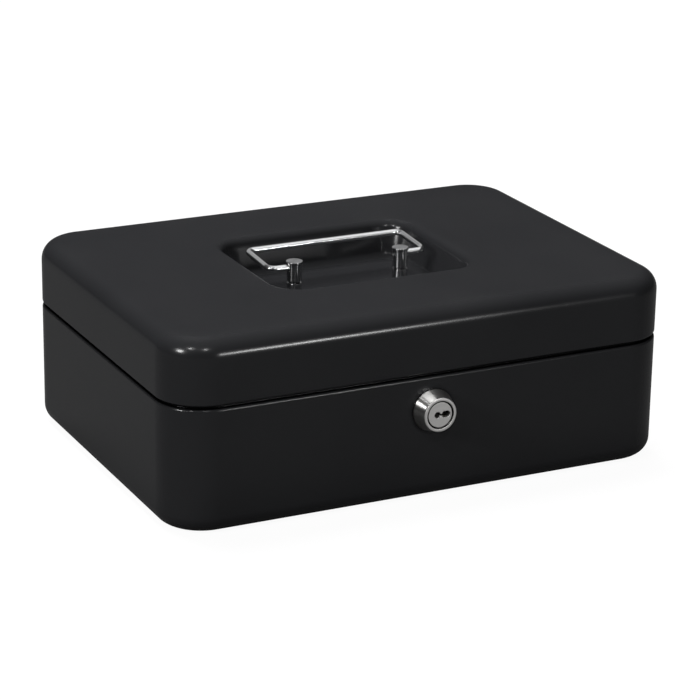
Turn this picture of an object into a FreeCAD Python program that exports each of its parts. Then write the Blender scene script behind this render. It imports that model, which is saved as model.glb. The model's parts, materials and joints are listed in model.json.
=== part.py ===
"""Steel cash box, in millimetres, with +Z up.

A pressed base and lid turn on a full-length hinge at the back. The lid has a sunken well
with a wire bail on two posts, the front wall carries a wafer cam lock, and a moulded coin
tray hangs in the base by its two ends. The origin is on the floor under the middle of the
case, +X runs along the front to the right, and +Y runs from the lock side to the hinge side.
"""

import FreeCAD
import Part
import math
import os

# Case: the pressed base and lid
CASE_WIDTH = 250.0
CASE_DEPTH = 180.0
CASE_HEIGHT = 90.0
CORNER_RADIUS = 22.0
LID_EDGE_RADIUS = 10.0
BASE_EDGE_RADIUS = 8.0
SHEET = 0.8
LID_HEIGHT = 30.4
SEAM_GAP = 0.4
SHOULDER_RADIUS = 1.6
HEM_HEIGHT = 4.0
HEM_RADIUS = 1.1
RIM_RISE = 6.3
RIM_CLEARANCE = 0.6

# Well in the lid for the handle: sharp opening before its lip is rounded
WELL_WIDTH = 101.0
WELL_LENGTH = 82.0
WELL_DEPTH = 18.0
WELL_CENTRE_Y = 1.5
WELL_CORNER_RADIUS = 14.0
WELL_DRAFT_DEG = 18.0
WELL_LIP_RADIUS = 5.0
WELL_FLOOR_RADIUS = 5.0

# Handle: two posts, their screws, and the wire bail
POST_SPACING = 55.2
POST_Y = -2.0
POST_RADIUS = 3.1
POST_HEAD_RADIUS = 4.0
POST_HEAD_THICKNESS = 1.2
POST_HEAD_EDGE = 0.3
POST_PROUD = 0.3
POST_GROOVE_BELOW_HEAD = 10.2
POST_GROOVE_WIDTH = 0.8
POST_GROOVE_DEPTH = 0.4
EYE_LAND = 0.1
WIRE_RADIUS = 1.5
WIRE_CLEARANCE = 0.1
BAIL_WIDTH = 80.5
BAIL_REACH = 26.0
BAIL_CORNER_RADIUS = 3.5
BAIL_ELBOW_RADIUS = 4.0
BAIL_TIP_PAST_AXIS = 2.4
BAIL_REST_TILT_DEG = 3.7
SCREW_RADIUS = 1.5
SCREW_CLEARANCE = 0.2
SCREW_GRIP = 7.0
SCREW_HEAD_RADIUS = 2.9
SCREW_HEAD_HEIGHT = 1.7
SCREW_SLOT_WIDTH = 0.8
SCREW_SLOT_DEPTH = 0.8
SCREW_WASHER_RADIUS = 3.6
SCREW_WASHER_THICKNESS = 0.6

# Hinge: two leaves welded inside the back walls, knuckles flush with the back
HINGE_END_SETBACK = 0.5
HINGE_LEAF_HEIGHT = 14.0
HINGE_LEAF_THICKNESS = 0.8
KNUCKLE_RADIUS = 2.1
KNUCKLE_COUNT = 11
KNUCKLE_GAP = 0.4
KNUCKLE_CLEARANCE = 0.5
PIN_RADIUS = 1.2
PIN_CLEARANCE = 0.05
PIN_END_ROUND = 0.4
SLOT_OVERRUN = 3.0
SLOT_TIP_MARGIN = 1.0

# Lock: a tapered collar, housing and nut on the front wall, with the turning plug inside
LOCK_BELOW_SEAM = 17.0
COLLAR_WALL_RADIUS = 10.0
COLLAR_FACE_RADIUS = 8.0
COLLAR_LENGTH = 6.6
COLLAR_EDGE = 0.3
FLANGE_THICKNESS = 0.9
FLANGE_EDGE = 0.35
BARREL_RADIUS = 7.0
BARREL_FLAT = 6.2
BARREL_REACH = 13.0
BARREL_CLEARANCE = 0.1
PLUG_RADIUS = 5.5
PLUG_CLEARANCE = 0.05
PLUG_HEAD_RADIUS = 6.0
PLUG_HEAD_THICKNESS = 1.2
PLUG_HEAD_SINK = 0.2
PLUG_HEAD_EDGE = 0.25
PLUG_GROOVE = 0.6
PLUG_END_PLAY = 0.1
KEYWAY_LEFT_X = -1.3
KEYWAY_LEFT_RADIUS = 1.3
KEYWAY_RIGHT_X = 2.75
KEYWAY_RIGHT_WIDTH = 3.2
KEYWAY_RIGHT_HEIGHT = 2.6
KEYWAY_NECK_HEIGHT = 0.7
KEYWAY_DEPTH = 13.8
WAFER_COUNT = 5
WAFER_PITCH = 2.4
WAFER_FIRST = 3.2
WAFER_THICKNESS = 0.9
WAFER_HALF_HEIGHT = 2.0
WAFER_WINDOW_PLAY = 0.3
WAFER_SIDE_PLAY = 0.05
WAFER_BITTING = (0.2, -0.25, 0.1, -0.15, 0.25)
WAFER_EAR_WIDTH = 0.7
SPRING_WIRE_RADIUS = 0.14
SPRING_RADIUS = 0.58
SPRING_TURNS = 5
SPRING_LENGTH = 3.7
SPRING_PLAY = 0.12
NUT_FLATS = 19.0
NUT_THICKNESS = 3.2
NUT_CLEARANCE = 0.05
LOCK_WASHER_RADIUS = 9.4
LOCK_WASHER_THICKNESS = 0.8
LOCK_WASHER_TEETH = 14
LOCK_WASHER_NOTCH = 1.2
TAIL_SQUARE = 5.0
CAM_THICKNESS = 1.6
CAM_LENGTH = 24.0
CAM_WIDTH = 8.0
CAM_HUB_RADIUS = 6.5
CAM_FIT = 0.05
CAM_WASHER_RADIUS = 4.2
CAM_WASHER_THICKNESS = 0.7

# Strike: the folded catch inside the lid that the cam holds down
STRIKE_LEFT_X = 13.0
STRIKE_WIDTH = 12.0
STRIKE_THICKNESS = 1.5
STRIKE_ROLL_CLEARANCE = 2.1
STRIKE_RIM_CLEARANCE = 1.2
STRIKE_CAM_CLEARANCE = 0.6
STRIKE_TOE = 1.5

# Coin tray: a moulding that hangs on the rim of the base by an ear at each end
TRAY_CLEARANCE = 3.2
TRAY_DEPTH = 34.0
TRAY_WALL = 1.6
TRAY_WALL_DROP = 4.0
TRAY_EAR_THICKNESS = 1.6
TRAY_EAR_SETBACK = 0.3
TRAY_EAR_LENGTH = 84.0
TRAY_DIVIDER_DROP = 8.0
TRAY_CUP_CORNER = 3.0
TRAY_CUP_SCOOP = 2.5
TRAY_NOTCH_WIDTH = 66.0
TRAY_NOTCH_DEPTH = 26.0
TRAY_BACK_CUPS = 4

# Lengths that only make a cut run past a face, or a test tolerant
OVERCUT = 2.0
NEAR = 0.01

# Places that follow from the sizes above
SEAM_HEIGHT = CASE_HEIGHT - LID_HEIGHT
SHOULDER_Z = SEAM_HEIGHT - SEAM_GAP / 2
HEM_Z = SEAM_HEIGHT + SEAM_GAP / 2
HEM_THICKNESS = 2 * SHEET
RIM_INSET = HEM_THICKNESS + RIM_CLEARANCE
RIM_TOP = SHOULDER_Z + RIM_RISE
MOUTH_INSET = RIM_INSET + SHEET
FRONT_Y = -CASE_DEPTH / 2
BACK_Y = CASE_DEPTH / 2
WELL_FLOOR_Z = CASE_HEIGHT - WELL_DEPTH
WELL_DRAFT = math.tan(math.radians(WELL_DRAFT_DEG))
POST_X = POST_SPACING / 2
HEAD_TOP_Z = CASE_HEIGHT + POST_PROUD
HEAD_LOW_Z = HEAD_TOP_Z - POST_HEAD_THICKNESS
EYE_RADIUS = WIRE_RADIUS + WIRE_CLEARANCE
EYE_Z = HEAD_LOW_Z - EYE_LAND - EYE_RADIUS
HINGE_Y = BACK_Y - KNUCKLE_RADIUS
HINGE_Z = SEAM_HEIGHT
SLOT_HALF_HEIGHT = KNUCKLE_RADIUS + KNUCKLE_CLEARANCE
STRAIGHT_HALF = CASE_WIDTH / 2 - CORNER_RADIUS
HINGE_LENGTH = 2 * (STRAIGHT_HALF - HINGE_END_SETBACK)
SLOT_HALF_LENGTH = STRAIGHT_HALF + SLOT_OVERRUN
CORNER_CHORD = math.sqrt(CORNER_RADIUS ** 2 - (CORNER_RADIUS - KNUCKLE_RADIUS) ** 2)
SLOT_TIP_HALF = STRAIGHT_HALF + CORNER_CHORD + SLOT_TIP_MARGIN
LOCK_HEIGHT = SEAM_HEIGHT - LOCK_BELOW_SEAM
COLLAR_FACE_Y = FRONT_Y - COLLAR_LENGTH
LOCK_FACE_Y = COLLAR_FACE_Y - FLANGE_THICKNESS
BARREL_END_Y = FRONT_Y + BARREL_REACH
PLUG_FACE_Y = LOCK_FACE_Y + PLUG_HEAD_SINK
PLUG_NECK_Y = PLUG_FACE_Y + PLUG_HEAD_THICKNESS
CAM_Y = BARREL_END_Y + PLUG_END_PLAY
CAM_BACK_Y = CAM_Y + CAM_THICKNESS
WAFER_SLOT_HALF_HEIGHT = WAFER_HALF_HEIGHT + WAFER_SIDE_PLAY
SPRING_POCKET_HALF = SPRING_RADIUS + SPRING_WIRE_RADIUS + SPRING_PLAY
STRIKE_FACE_Y = FRONT_Y + MOUTH_INSET + STRIKE_RIM_CLEARANCE
STRIKE_STEP_Z = RIM_TOP + STRIKE_RIM_CLEARANCE
STRIKE_PAD_TOP_Z = CASE_HEIGHT - LID_EDGE_RADIUS - STRIKE_ROLL_CLEARANCE
TRAY_INSET = MOUTH_INSET + TRAY_CLEARANCE
TRAY_TOP_Z = RIM_TOP + TRAY_EAR_THICKNESS
TRAY_WALL_TOP_Z = RIM_TOP - TRAY_WALL_DROP
TRAY_LOW_Z = RIM_TOP - TRAY_DEPTH
TRAY_DIVIDER_Z = RIM_TOP - TRAY_DIVIDER_DROP


def vec(x, y, z):
    return FreeCAD.Vector(x, y, z)


def box(x_range, y_range, z_range):
    """Block between low and high values on each axis."""
    corner = vec(x_range[0], y_range[0], z_range[0])
    sizes = [high - low for low, high in (x_range, y_range, z_range)]
    return Part.makeBox(sizes[0], sizes[1], sizes[2], corner)


def rod_x(radius, x_low, x_high, y, z):
    return Part.makeCylinder(radius, x_high - x_low, vec(x_low, y, z), vec(1, 0, 0))


def rod_y(radius, y_low, y_high, x=0.0, z=LOCK_HEIGHT):
    return Part.makeCylinder(radius, y_high - y_low, vec(x, y_low, z), vec(0, 1, 0))


def rod_z(radius, z_low, z_high, x, y):
    return Part.makeCylinder(radius, z_high - z_low, vec(x, y, z_low))


def prism(points, direction):
    """Solid swept straight from a closed outline of points."""
    return Part.Face(Part.makePolygon(points + points[:1])).extrude(direction)


def rounded_wire(width, depth, radius, z, x=0.0, y=0.0):
    """Level outline of a rectangle with round corners about the point x, y."""
    reach_x = width / 2 - radius
    reach_y = depth / 2 - radius
    signs = [(1, 1), (-1, 1), (-1, -1), (1, -1)]
    arcs = []
    for quarter, (sign_x, sign_y) in enumerate(signs):
        points = []
        for eighth in range(3):
            turn = math.pi / 4 * (2 * quarter + eighth)
            points.append(vec(x + sign_x * reach_x + radius * math.cos(turn),
                              y + sign_y * reach_y + radius * math.sin(turn), z))
        arcs.append(points)
    edges = []
    for quarter, points in enumerate(arcs):
        following = arcs[(quarter + 1) % 4]
        edges.append(Part.Arc(*points).toShape())
        edges.append(Part.LineSegment(points[2], following[0]).toShape())
    return Part.Wire(edges)


def rounded_block(width, depth, radius, z_low, z_high, x=0.0, y=0.0):
    face = Part.Face(rounded_wire(width, depth, radius, z_low, x, y))
    return face.extrude(vec(0, 0, z_high - z_low))


def case_block(inset, z_low, z_high):
    """Block with the case's plan outline, drawn in by inset all round."""
    return rounded_block(CASE_WIDTH - 2 * inset, CASE_DEPTH - 2 * inset, CORNER_RADIUS - inset,
                         z_low, z_high)


def level_edges(shape, z, half_width=CASE_WIDTH):
    """Edges that lie level at height z, within half_width of the middle."""
    found = []
    for edge in shape.Edges:
        bound = edge.BoundBox
        level = abs(bound.ZMin - z) < NEAR and abs(bound.ZMax - z) < NEAR
        if level and bound.XMax < half_width and bound.XMin > -half_width:
            found.append(edge)
    return found


def round_level(shape, radius, z, half_width=CASE_WIDTH):
    return shape.makeFillet(radius, level_edges(shape, z, half_width))


def end_edges(shape, y):
    """Edges that lie in the upright plane at y."""
    return [edge for edge in shape.Edges
            if abs(edge.BoundBox.YMin - y) < NEAR and abs(edge.BoundBox.YMax - y) < NEAR]


def fuse_all(shapes):
    joined = shapes[0].multiFuse(shapes[1:]) if len(shapes) > 1 else shapes[0]
    return joined.removeSplitter()


def cut_all(shape, tools):
    for tool in tools:
        shape = shape.cut(tool)
    return shape


# Case

def hinge_slot():
    """Long opening across both back walls that the knuckles sit in, tapered at its ends."""
    tip = SEAM_GAP / 2
    outline = []
    for side in (-1, 1):
        for half, height in ((SLOT_TIP_HALF, tip), (SLOT_HALF_LENGTH, SLOT_HALF_HEIGHT)):
            outline.append((side * half, side * height))
        for half, height in ((SLOT_HALF_LENGTH, SLOT_HALF_HEIGHT), (SLOT_TIP_HALF, tip)):
            outline.append((-side * half, side * height))
    inner_y = HINGE_Y - SLOT_HALF_HEIGHT
    points = [vec(x, inner_y, HINGE_Z + z) for x, z in outline]
    return prism(points, vec(0, BACK_Y + OVERCUT - inner_y, 0))


def lock_hole(clearance):
    """Round hole with two flats that keeps the lock housing from turning."""
    span = (FRONT_Y - OVERCUT, FRONT_Y + OVERCUT)
    flat = BARREL_FLAT + clearance
    radius = BARREL_RADIUS + clearance
    hole = rod_y(radius, *span)
    return hole.common(box((-radius, radius), span, (LOCK_HEIGHT - flat, LOCK_HEIGHT + flat)))


def base_shell():
    outer = case_block(0.0, 0.0, SHOULDER_Z)
    outer = round_level(outer, BASE_EDGE_RADIUS, 0.0)
    outer = round_level(outer, SHOULDER_RADIUS, SHOULDER_Z)
    rim = case_block(RIM_INSET, SHOULDER_Z - SHEET, RIM_TOP)
    hollow_top = SHOULDER_Z - SHEET
    hollow = case_block(SHEET, SHEET, hollow_top)
    hollow = round_level(hollow, BASE_EDGE_RADIUS - SHEET, SHEET)
    hollow = round_level(hollow, SHOULDER_RADIUS - SHEET, hollow_top)
    mouth = case_block(MOUTH_INSET, hollow_top - OVERCUT, RIM_TOP + OVERCUT)
    rim_gap = box((-SLOT_TIP_HALF, SLOT_TIP_HALF), (BACK_Y - CORNER_RADIUS / 2, BACK_Y),
                  (SHOULDER_Z, RIM_TOP + OVERCUT))
    solid = fuse_all([outer, rim])
    return cut_all(solid, [hollow, mouth, rim_gap, hinge_slot(), lock_hole(BARREL_CLEARANCE)])


def well_block(outset, floor_z):
    """Drafted block of the well's shape, grown outwards by outset along its walls."""
    drop = CASE_HEIGHT - floor_z
    grow = outset / math.cos(math.radians(WELL_DRAFT_DEG))
    wires = []
    for z, draw_in in ((CASE_HEIGHT, 0.0), (floor_z, drop * WELL_DRAFT)):
        change = grow - draw_in
        wires.append(rounded_wire(WELL_WIDTH + 2 * change, WELL_LENGTH + 2 * change,
                                  WELL_CORNER_RADIUS + change, z, y=WELL_CENTRE_Y))
    block = Part.makeLoft(wires, True, True)
    return round_level(block, WELL_FLOOR_RADIUS + outset, floor_z)


def lid_shell():
    outer = case_block(0.0, HEM_Z, CASE_HEIGHT)
    outer = round_level(outer, LID_EDGE_RADIUS, CASE_HEIGHT)
    outer = round_level(outer, HEM_RADIUS, HEM_Z)
    hem_top = HEM_Z + HEM_HEIGHT
    ceiling = CASE_HEIGHT - SHEET
    hollow = case_block(SHEET, hem_top, ceiling)
    hollow = round_level(hollow, LID_EDGE_RADIUS - SHEET, ceiling)
    mouth = case_block(HEM_THICKNESS, HEM_Z - OVERCUT, hem_top + NEAR)
    shell = cut_all(outer, [hollow, mouth])
    cup = well_block(SHEET, WELL_FLOOR_Z - SHEET)
    shell = fuse_all([shell, cup.common(case_block(0.0, HEM_Z, CASE_HEIGHT))])
    shell = shell.cut(well_block(0.0, WELL_FLOOR_Z))
    near_well = WELL_WIDTH / 2 + WELL_LIP_RADIUS
    shell = round_level(shell, WELL_LIP_RADIUS, CASE_HEIGHT, near_well)
    shell = round_level(shell, WELL_LIP_RADIUS - SHEET, ceiling, near_well)
    hem_gap = box((-SLOT_HALF_LENGTH, SLOT_HALF_LENGTH),
                  (BACK_Y - HEM_THICKNESS - OVERCUT, BACK_Y - SHEET), (HEM_Z - OVERCUT, hem_top + NEAR))
    holes = [rod_z(SCREW_RADIUS + SCREW_CLEARANCE, WELL_FLOOR_Z - OVERCUT, WELL_FLOOR_Z + OVERCUT,
                   side * POST_X, POST_Y) for side in (-1, 1)]
    return cut_all(shell, [hem_gap, hinge_slot()] + holes)


# Handle

def handle_post(side):
    x = side * POST_X
    shaft = rod_z(POST_RADIUS, WELL_FLOOR_Z, HEAD_LOW_Z, x, POST_Y)
    head = rod_z(POST_HEAD_RADIUS, HEAD_LOW_Z, HEAD_TOP_Z, x, POST_Y)
    head = round_level(head, POST_HEAD_EDGE, HEAD_TOP_Z)
    post = fuse_all([shaft, head])
    eye = rod_x(EYE_RADIUS, x - POST_HEAD_RADIUS, x + POST_HEAD_RADIUS, POST_Y, EYE_Z)
    groove_top = HEAD_TOP_Z - POST_GROOVE_BELOW_HEAD
    groove_low = groove_top - POST_GROOVE_WIDTH
    groove = rod_z(POST_HEAD_RADIUS, groove_low, groove_top, x, POST_Y)
    groove = groove.cut(rod_z(POST_RADIUS - POST_GROOVE_DEPTH, groove_low, groove_top, x, POST_Y))
    tapping = rod_z(SCREW_RADIUS, WELL_FLOOR_Z - OVERCUT, WELL_FLOOR_Z + SCREW_GRIP, x, POST_Y)
    return cut_all(post, [eye, groove, tapping])


def post_washers():
    top = WELL_FLOOR_Z - SHEET
    rings = []
    for side in (-1, 1):
        ring = rod_z(SCREW_WASHER_RADIUS, top - SCREW_WASHER_THICKNESS, top, side * POST_X, POST_Y)
        hole = rod_z(SCREW_RADIUS + SCREW_CLEARANCE, top - OVERCUT, top, side * POST_X, POST_Y)
        rings.append(ring.cut(hole))
    return Part.makeCompound(rings)


def post_screws():
    head_top = WELL_FLOOR_Z - SHEET - SCREW_WASHER_THICKNESS
    head_low = head_top - SCREW_HEAD_HEIGHT
    screws = []
    for side in (-1, 1):
        x = side * POST_X
        shank = rod_z(SCREW_RADIUS, head_top, WELL_FLOOR_Z + SCREW_GRIP, x, POST_Y)
        head = rod_z(SCREW_HEAD_RADIUS, head_low, head_top, x, POST_Y)
        head = round_level(head, SCREW_HEAD_HEIGHT / 2, head_low)
        slot = box((x - SCREW_HEAD_RADIUS, x + SCREW_HEAD_RADIUS),
                   (POST_Y - SCREW_SLOT_WIDTH / 2, POST_Y + SCREW_SLOT_WIDTH / 2),
                   (head_low - OVERCUT, head_low + SCREW_SLOT_DEPTH))
        screws.append(fuse_all([shank, head]).cut(slot))
    return Part.makeCompound(screws)


def bend(before, corner, after, radius):
    """Arc of a right-angle bend at corner, and the points where it starts and ends."""
    towards = (before - corner).normalize()
    onwards = (after - corner).normalize()
    start = corner + towards * radius
    end = corner + onwards * radius
    centre = start + onwards * radius
    middle = centre + (corner - centre).normalize() * radius
    return start, Part.Arc(start, middle, end).toShape(), end


def handle_bail():
    """One wire bent round the back of the well, with its tips turned into the posts."""
    half = BAIL_WIDTH / 2
    tip = POST_X - BAIL_TIP_PAST_AXIS
    bar_y = POST_Y + BAIL_REACH
    route = [vec(-tip, POST_Y, EYE_Z), vec(-half, POST_Y, EYE_Z), vec(-half, bar_y, EYE_Z),
             vec(half, bar_y, EYE_Z), vec(half, POST_Y, EYE_Z), vec(tip, POST_Y, EYE_Z)]
    radii = [BAIL_ELBOW_RADIUS, BAIL_CORNER_RADIUS, BAIL_CORNER_RADIUS, BAIL_ELBOW_RADIUS]
    edges = []
    last = route[0]
    for index, radius in enumerate(radii):
        start, arc, end = bend(route[index], route[index + 1], route[index + 2], radius)
        edges += [Part.LineSegment(last, start).toShape(), arc]
        last = end
    edges.append(Part.LineSegment(last, route[-1]).toShape())
    section = Part.Wire(Part.Circle(route[0], vec(1, 0, 0), WIRE_RADIUS).toShape())
    bail = Part.Wire(edges).makePipeShell([section], True, False)
    bail.rotate(vec(0, POST_Y, EYE_Z), vec(1, 0, 0), BAIL_REST_TILT_DEG)
    return bail


# Hinge

def knuckle_spans():
    """Low and high x of each knuckle, from left to right."""
    pitch = HINGE_LENGTH / KNUCKLE_COUNT
    spans = []
    for index in range(KNUCKLE_COUNT):
        low = -HINGE_LENGTH / 2 + index * pitch
        spans.append((low + KNUCKLE_GAP / 2, low + pitch - KNUCKLE_GAP / 2))
    return spans


def hinge_leaf(first, up):
    """Leaf with every second knuckle from first on, above (up = 1) or below (up = -1) the pin."""
    far_z = HINGE_Z + up * HINGE_LEAF_HEIGHT
    wall_y = BACK_Y - SHEET
    leaf = box((-HINGE_LENGTH / 2, HINGE_LENGTH / 2), (wall_y - HINGE_LEAF_THICKNESS, wall_y),
               (min(HINGE_Z, far_z), max(HINGE_Z, far_z)))
    near_z = HINGE_Z + up * SLOT_HALF_HEIGHT
    spans = knuckle_spans()
    notches = []
    for low, high in spans[1 - first::2]:
        notches.append(box((low - KNUCKLE_GAP, high + KNUCKLE_GAP), (HINGE_Y - OVERCUT, BACK_Y),
                           (min(HINGE_Z - up * OVERCUT, near_z), max(HINGE_Z - up * OVERCUT, near_z))))
    knuckles = [rod_x(KNUCKLE_RADIUS, low, high, HINGE_Y, HINGE_Z) for low, high in spans[first::2]]
    leaf = fuse_all([cut_all(leaf, notches)] + knuckles)
    bore = rod_x(PIN_RADIUS + PIN_CLEARANCE, -CASE_WIDTH, CASE_WIDTH, HINGE_Y, HINGE_Z)
    return leaf.cut(bore)


def hinge_pin():
    pin = rod_x(PIN_RADIUS, -HINGE_LENGTH / 2, HINGE_LENGTH / 2, HINGE_Y, HINGE_Z)
    rims = [edge for edge in pin.Edges if edge.BoundBox.XLength < NEAR]
    return pin.makeFillet(PIN_END_ROUND, rims)


# Lock

def lock_collar():
    """Tapered ring between the housing's flange and the front wall."""
    cone = Part.makeCone(COLLAR_FACE_RADIUS, COLLAR_WALL_RADIUS, COLLAR_LENGTH,
                         vec(0, COLLAR_FACE_Y, LOCK_HEIGHT), vec(0, 1, 0))
    cone = cone.makeFillet(COLLAR_EDGE, end_edges(cone, FRONT_Y))
    return cone.cut(rod_y(BARREL_RADIUS + BARREL_CLEARANCE, COLLAR_FACE_Y - OVERCUT, FRONT_Y + OVERCUT))


def lock_housing():
    flange = rod_y(COLLAR_FACE_RADIUS, LOCK_FACE_Y, COLLAR_FACE_Y)
    flange = flange.makeFillet(FLANGE_EDGE, end_edges(flange, LOCK_FACE_Y))
    barrel = rod_y(BARREL_RADIUS, COLLAR_FACE_Y, BARREL_END_Y)
    barrel = barrel.common(box((-BARREL_RADIUS, BARREL_RADIUS), (COLLAR_FACE_Y, BARREL_END_Y),
                               (LOCK_HEIGHT - BARREL_FLAT, LOCK_HEIGHT + BARREL_FLAT)))
    bore = rod_y(PLUG_RADIUS + PLUG_CLEARANCE, LOCK_FACE_Y - OVERCUT, BARREL_END_Y + OVERCUT)
    seat = rod_y(PLUG_HEAD_RADIUS + PLUG_GROOVE, LOCK_FACE_Y - OVERCUT, PLUG_NECK_Y + PLUG_END_PLAY)
    return cut_all(fuse_all([flange, barrel]), [bore, seat])


def keyway():
    """Two round-ended openings joined by a narrow neck, level across the plug."""
    span = (PLUG_FACE_Y - OVERCUT, PLUG_FACE_Y + KEYWAY_DEPTH)
    left = rod_y(KEYWAY_LEFT_RADIUS, *span, x=KEYWAY_LEFT_X)
    end_radius = KEYWAY_RIGHT_HEIGHT / 2
    reach = KEYWAY_RIGHT_WIDTH / 2 - end_radius
    ends = [rod_y(end_radius, *span, x=KEYWAY_RIGHT_X + side * reach) for side in (-1, 1)]
    right = box((KEYWAY_RIGHT_X - reach, KEYWAY_RIGHT_X + reach), span,
                (LOCK_HEIGHT - end_radius, LOCK_HEIGHT + end_radius))
    neck = box((KEYWAY_LEFT_X, KEYWAY_RIGHT_X), span,
               (LOCK_HEIGHT - KEYWAY_NECK_HEIGHT / 2, LOCK_HEIGHT + KEYWAY_NECK_HEIGHT / 2))
    return fuse_all([left, right, neck] + ends)


def wafer_places():
    """Y of the middle of each wafer, from the face inwards."""
    return [PLUG_FACE_Y + WAFER_FIRST + index * WAFER_PITCH for index in range(WAFER_COUNT)]


def spring_pocket(y):
    """Room above one wafer for its spring and its ear."""
    floor_z = LOCK_HEIGHT + WAFER_SLOT_HALF_HEIGHT
    half = SPRING_LENGTH / 2 + WAFER_EAR_WIDTH
    return box((-half, half), (y - SPRING_POCKET_HALF, y + SPRING_POCKET_HALF),
               (floor_z, floor_z + 2 * SPRING_POCKET_HALF))


def lock_plug():
    head = rod_y(PLUG_HEAD_RADIUS, PLUG_FACE_Y, PLUG_NECK_Y)
    head = head.makeFillet(PLUG_HEAD_EDGE, end_edges(head, PLUG_FACE_Y))
    body = rod_y(PLUG_RADIUS, PLUG_NECK_Y, CAM_Y)
    half = TAIL_SQUARE / 2
    tail = box((-half, half), (CAM_Y, CAM_BACK_Y), (LOCK_HEIGHT - half, LOCK_HEIGHT + half))
    plug = fuse_all([head, body, tail])
    cuts = [keyway(), rod_y(SCREW_RADIUS, CAM_BACK_Y - SCREW_GRIP, CAM_BACK_Y + OVERCUT)]
    slot_half = WAFER_THICKNESS / 2 + WAFER_SIDE_PLAY
    for y in wafer_places():
        cuts.append(box((-PLUG_RADIUS, PLUG_RADIUS), (y - slot_half, y + slot_half),
                        (LOCK_HEIGHT - WAFER_SLOT_HALF_HEIGHT, LOCK_HEIGHT + WAFER_SLOT_HALF_HEIGHT)))
        cuts.append(spring_pocket(y))
    return cut_all(plug, cuts)


def lock_wafers():
    """Wafers drawn in flush with the plug, as the right key holds them, windows cut to its steps."""
    wafers = []
    window_low = KEYWAY_LEFT_X - KEYWAY_LEFT_RADIUS - WAFER_WINDOW_PLAY
    window_high = KEYWAY_RIGHT_X + KEYWAY_RIGHT_WIDTH / 2 + WAFER_WINDOW_PLAY
    window_half_height = max(KEYWAY_LEFT_RADIUS, KEYWAY_RIGHT_HEIGHT / 2) + WAFER_SIDE_PLAY
    ear_low = SPRING_LENGTH / 2
    for y, step in zip(wafer_places(), WAFER_BITTING):
        span = (y - WAFER_THICKNESS / 2, y + WAFER_THICKNESS / 2)
        blank = box((-PLUG_RADIUS, PLUG_RADIUS), span,
                    (LOCK_HEIGHT - WAFER_HALF_HEIGHT, LOCK_HEIGHT + WAFER_HALF_HEIGHT))
        blank = blank.common(rod_y(PLUG_RADIUS - WAFER_SIDE_PLAY, *span))
        window = box((window_low + step, window_high + step), span,
                     (LOCK_HEIGHT - window_half_height, LOCK_HEIGHT + window_half_height))
        ear = box((ear_low, ear_low + WAFER_EAR_WIDTH - WAFER_SIDE_PLAY), span,
                  (LOCK_HEIGHT, LOCK_HEIGHT + WAFER_SLOT_HALF_HEIGHT + SPRING_POCKET_HALF))
        wafers.append(fuse_all([blank, ear]).cut(window))
    return Part.makeCompound(wafers)


def wafer_springs():
    """Coil springs that push the wafers outwards, one above each wafer."""
    coils = []
    wire = SPRING_WIRE_RADIUS
    reach = SPRING_LENGTH - 2 * wire
    axis_z = LOCK_HEIGHT + WAFER_SLOT_HALF_HEIGHT + SPRING_POCKET_HALF
    for y in wafer_places():
        helix = Part.makeHelix(reach / SPRING_TURNS, reach, SPRING_RADIUS)
        section = Part.Wire(Part.Circle(vec(SPRING_RADIUS, 0, 0), vec(0, 1, 0), wire).toShape())
        coil = Part.Wire(helix.Edges).makePipeShell([section], True, True)
        coil.rotate(vec(0, 0, 0), vec(0, 1, 0), 90)
        coil.translate(vec(wire - SPRING_LENGTH / 2, y, axis_z))
        coils.append(coil)
    return Part.makeCompound(coils)


def lock_washer():
    """Toothed ring under the nut, notched all round."""
    low = FRONT_Y + SHEET
    high = low + LOCK_WASHER_THICKNESS
    ring = rod_y(LOCK_WASHER_RADIUS, low, high).cut(rod_y(BARREL_RADIUS + BARREL_CLEARANCE, low, high))
    notch = box((-LOCK_WASHER_NOTCH / 2, LOCK_WASHER_NOTCH / 2), (low, high),
                (LOCK_HEIGHT + LOCK_WASHER_RADIUS - LOCK_WASHER_NOTCH, LOCK_HEIGHT + LOCK_WASHER_RADIUS))
    notches = []
    for index in range(LOCK_WASHER_TEETH):
        turned = notch.copy()
        turned.rotate(vec(0, 0, LOCK_HEIGHT), vec(0, 1, 0), 360.0 / LOCK_WASHER_TEETH * index)
        notches.append(turned)
    return cut_all(ring, notches)


def lock_nut():
    low = FRONT_Y + SHEET + LOCK_WASHER_THICKNESS
    corner = NUT_FLATS / math.sqrt(3)
    points = []
    for index in range(6):
        turn = math.pi / 3 * index
        points.append(vec(corner * math.cos(turn), low, LOCK_HEIGHT + corner * math.sin(turn)))
    nut = prism(points, vec(0, NUT_THICKNESS, 0))
    return nut.cut(rod_y(BARREL_RADIUS + NUT_CLEARANCE, low - OVERCUT, low + NUT_THICKNESS + OVERCUT))


def lock_cam():
    """Arm on the plug's square tail, upright while the box is unlocked."""
    hub = rod_y(CAM_HUB_RADIUS, CAM_Y, CAM_BACK_Y)
    tip_z = LOCK_HEIGHT + CAM_LENGTH - CAM_WIDTH / 2
    arm = box((-CAM_WIDTH / 2, CAM_WIDTH / 2), (CAM_Y, CAM_BACK_Y), (LOCK_HEIGHT, tip_z))
    tip = rod_y(CAM_WIDTH / 2, CAM_Y, CAM_BACK_Y, z=tip_z)
    half = TAIL_SQUARE / 2 + CAM_FIT
    hole = box((-half, half), (CAM_Y - OVERCUT, CAM_BACK_Y + OVERCUT),
               (LOCK_HEIGHT - half, LOCK_HEIGHT + half))
    return fuse_all([hub, arm, tip]).cut(hole)


def cam_washer():
    high = CAM_BACK_Y + CAM_WASHER_THICKNESS
    return rod_y(CAM_WASHER_RADIUS, CAM_BACK_Y, high).cut(
        rod_y(SCREW_RADIUS + SCREW_CLEARANCE, CAM_BACK_Y, high))


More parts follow.
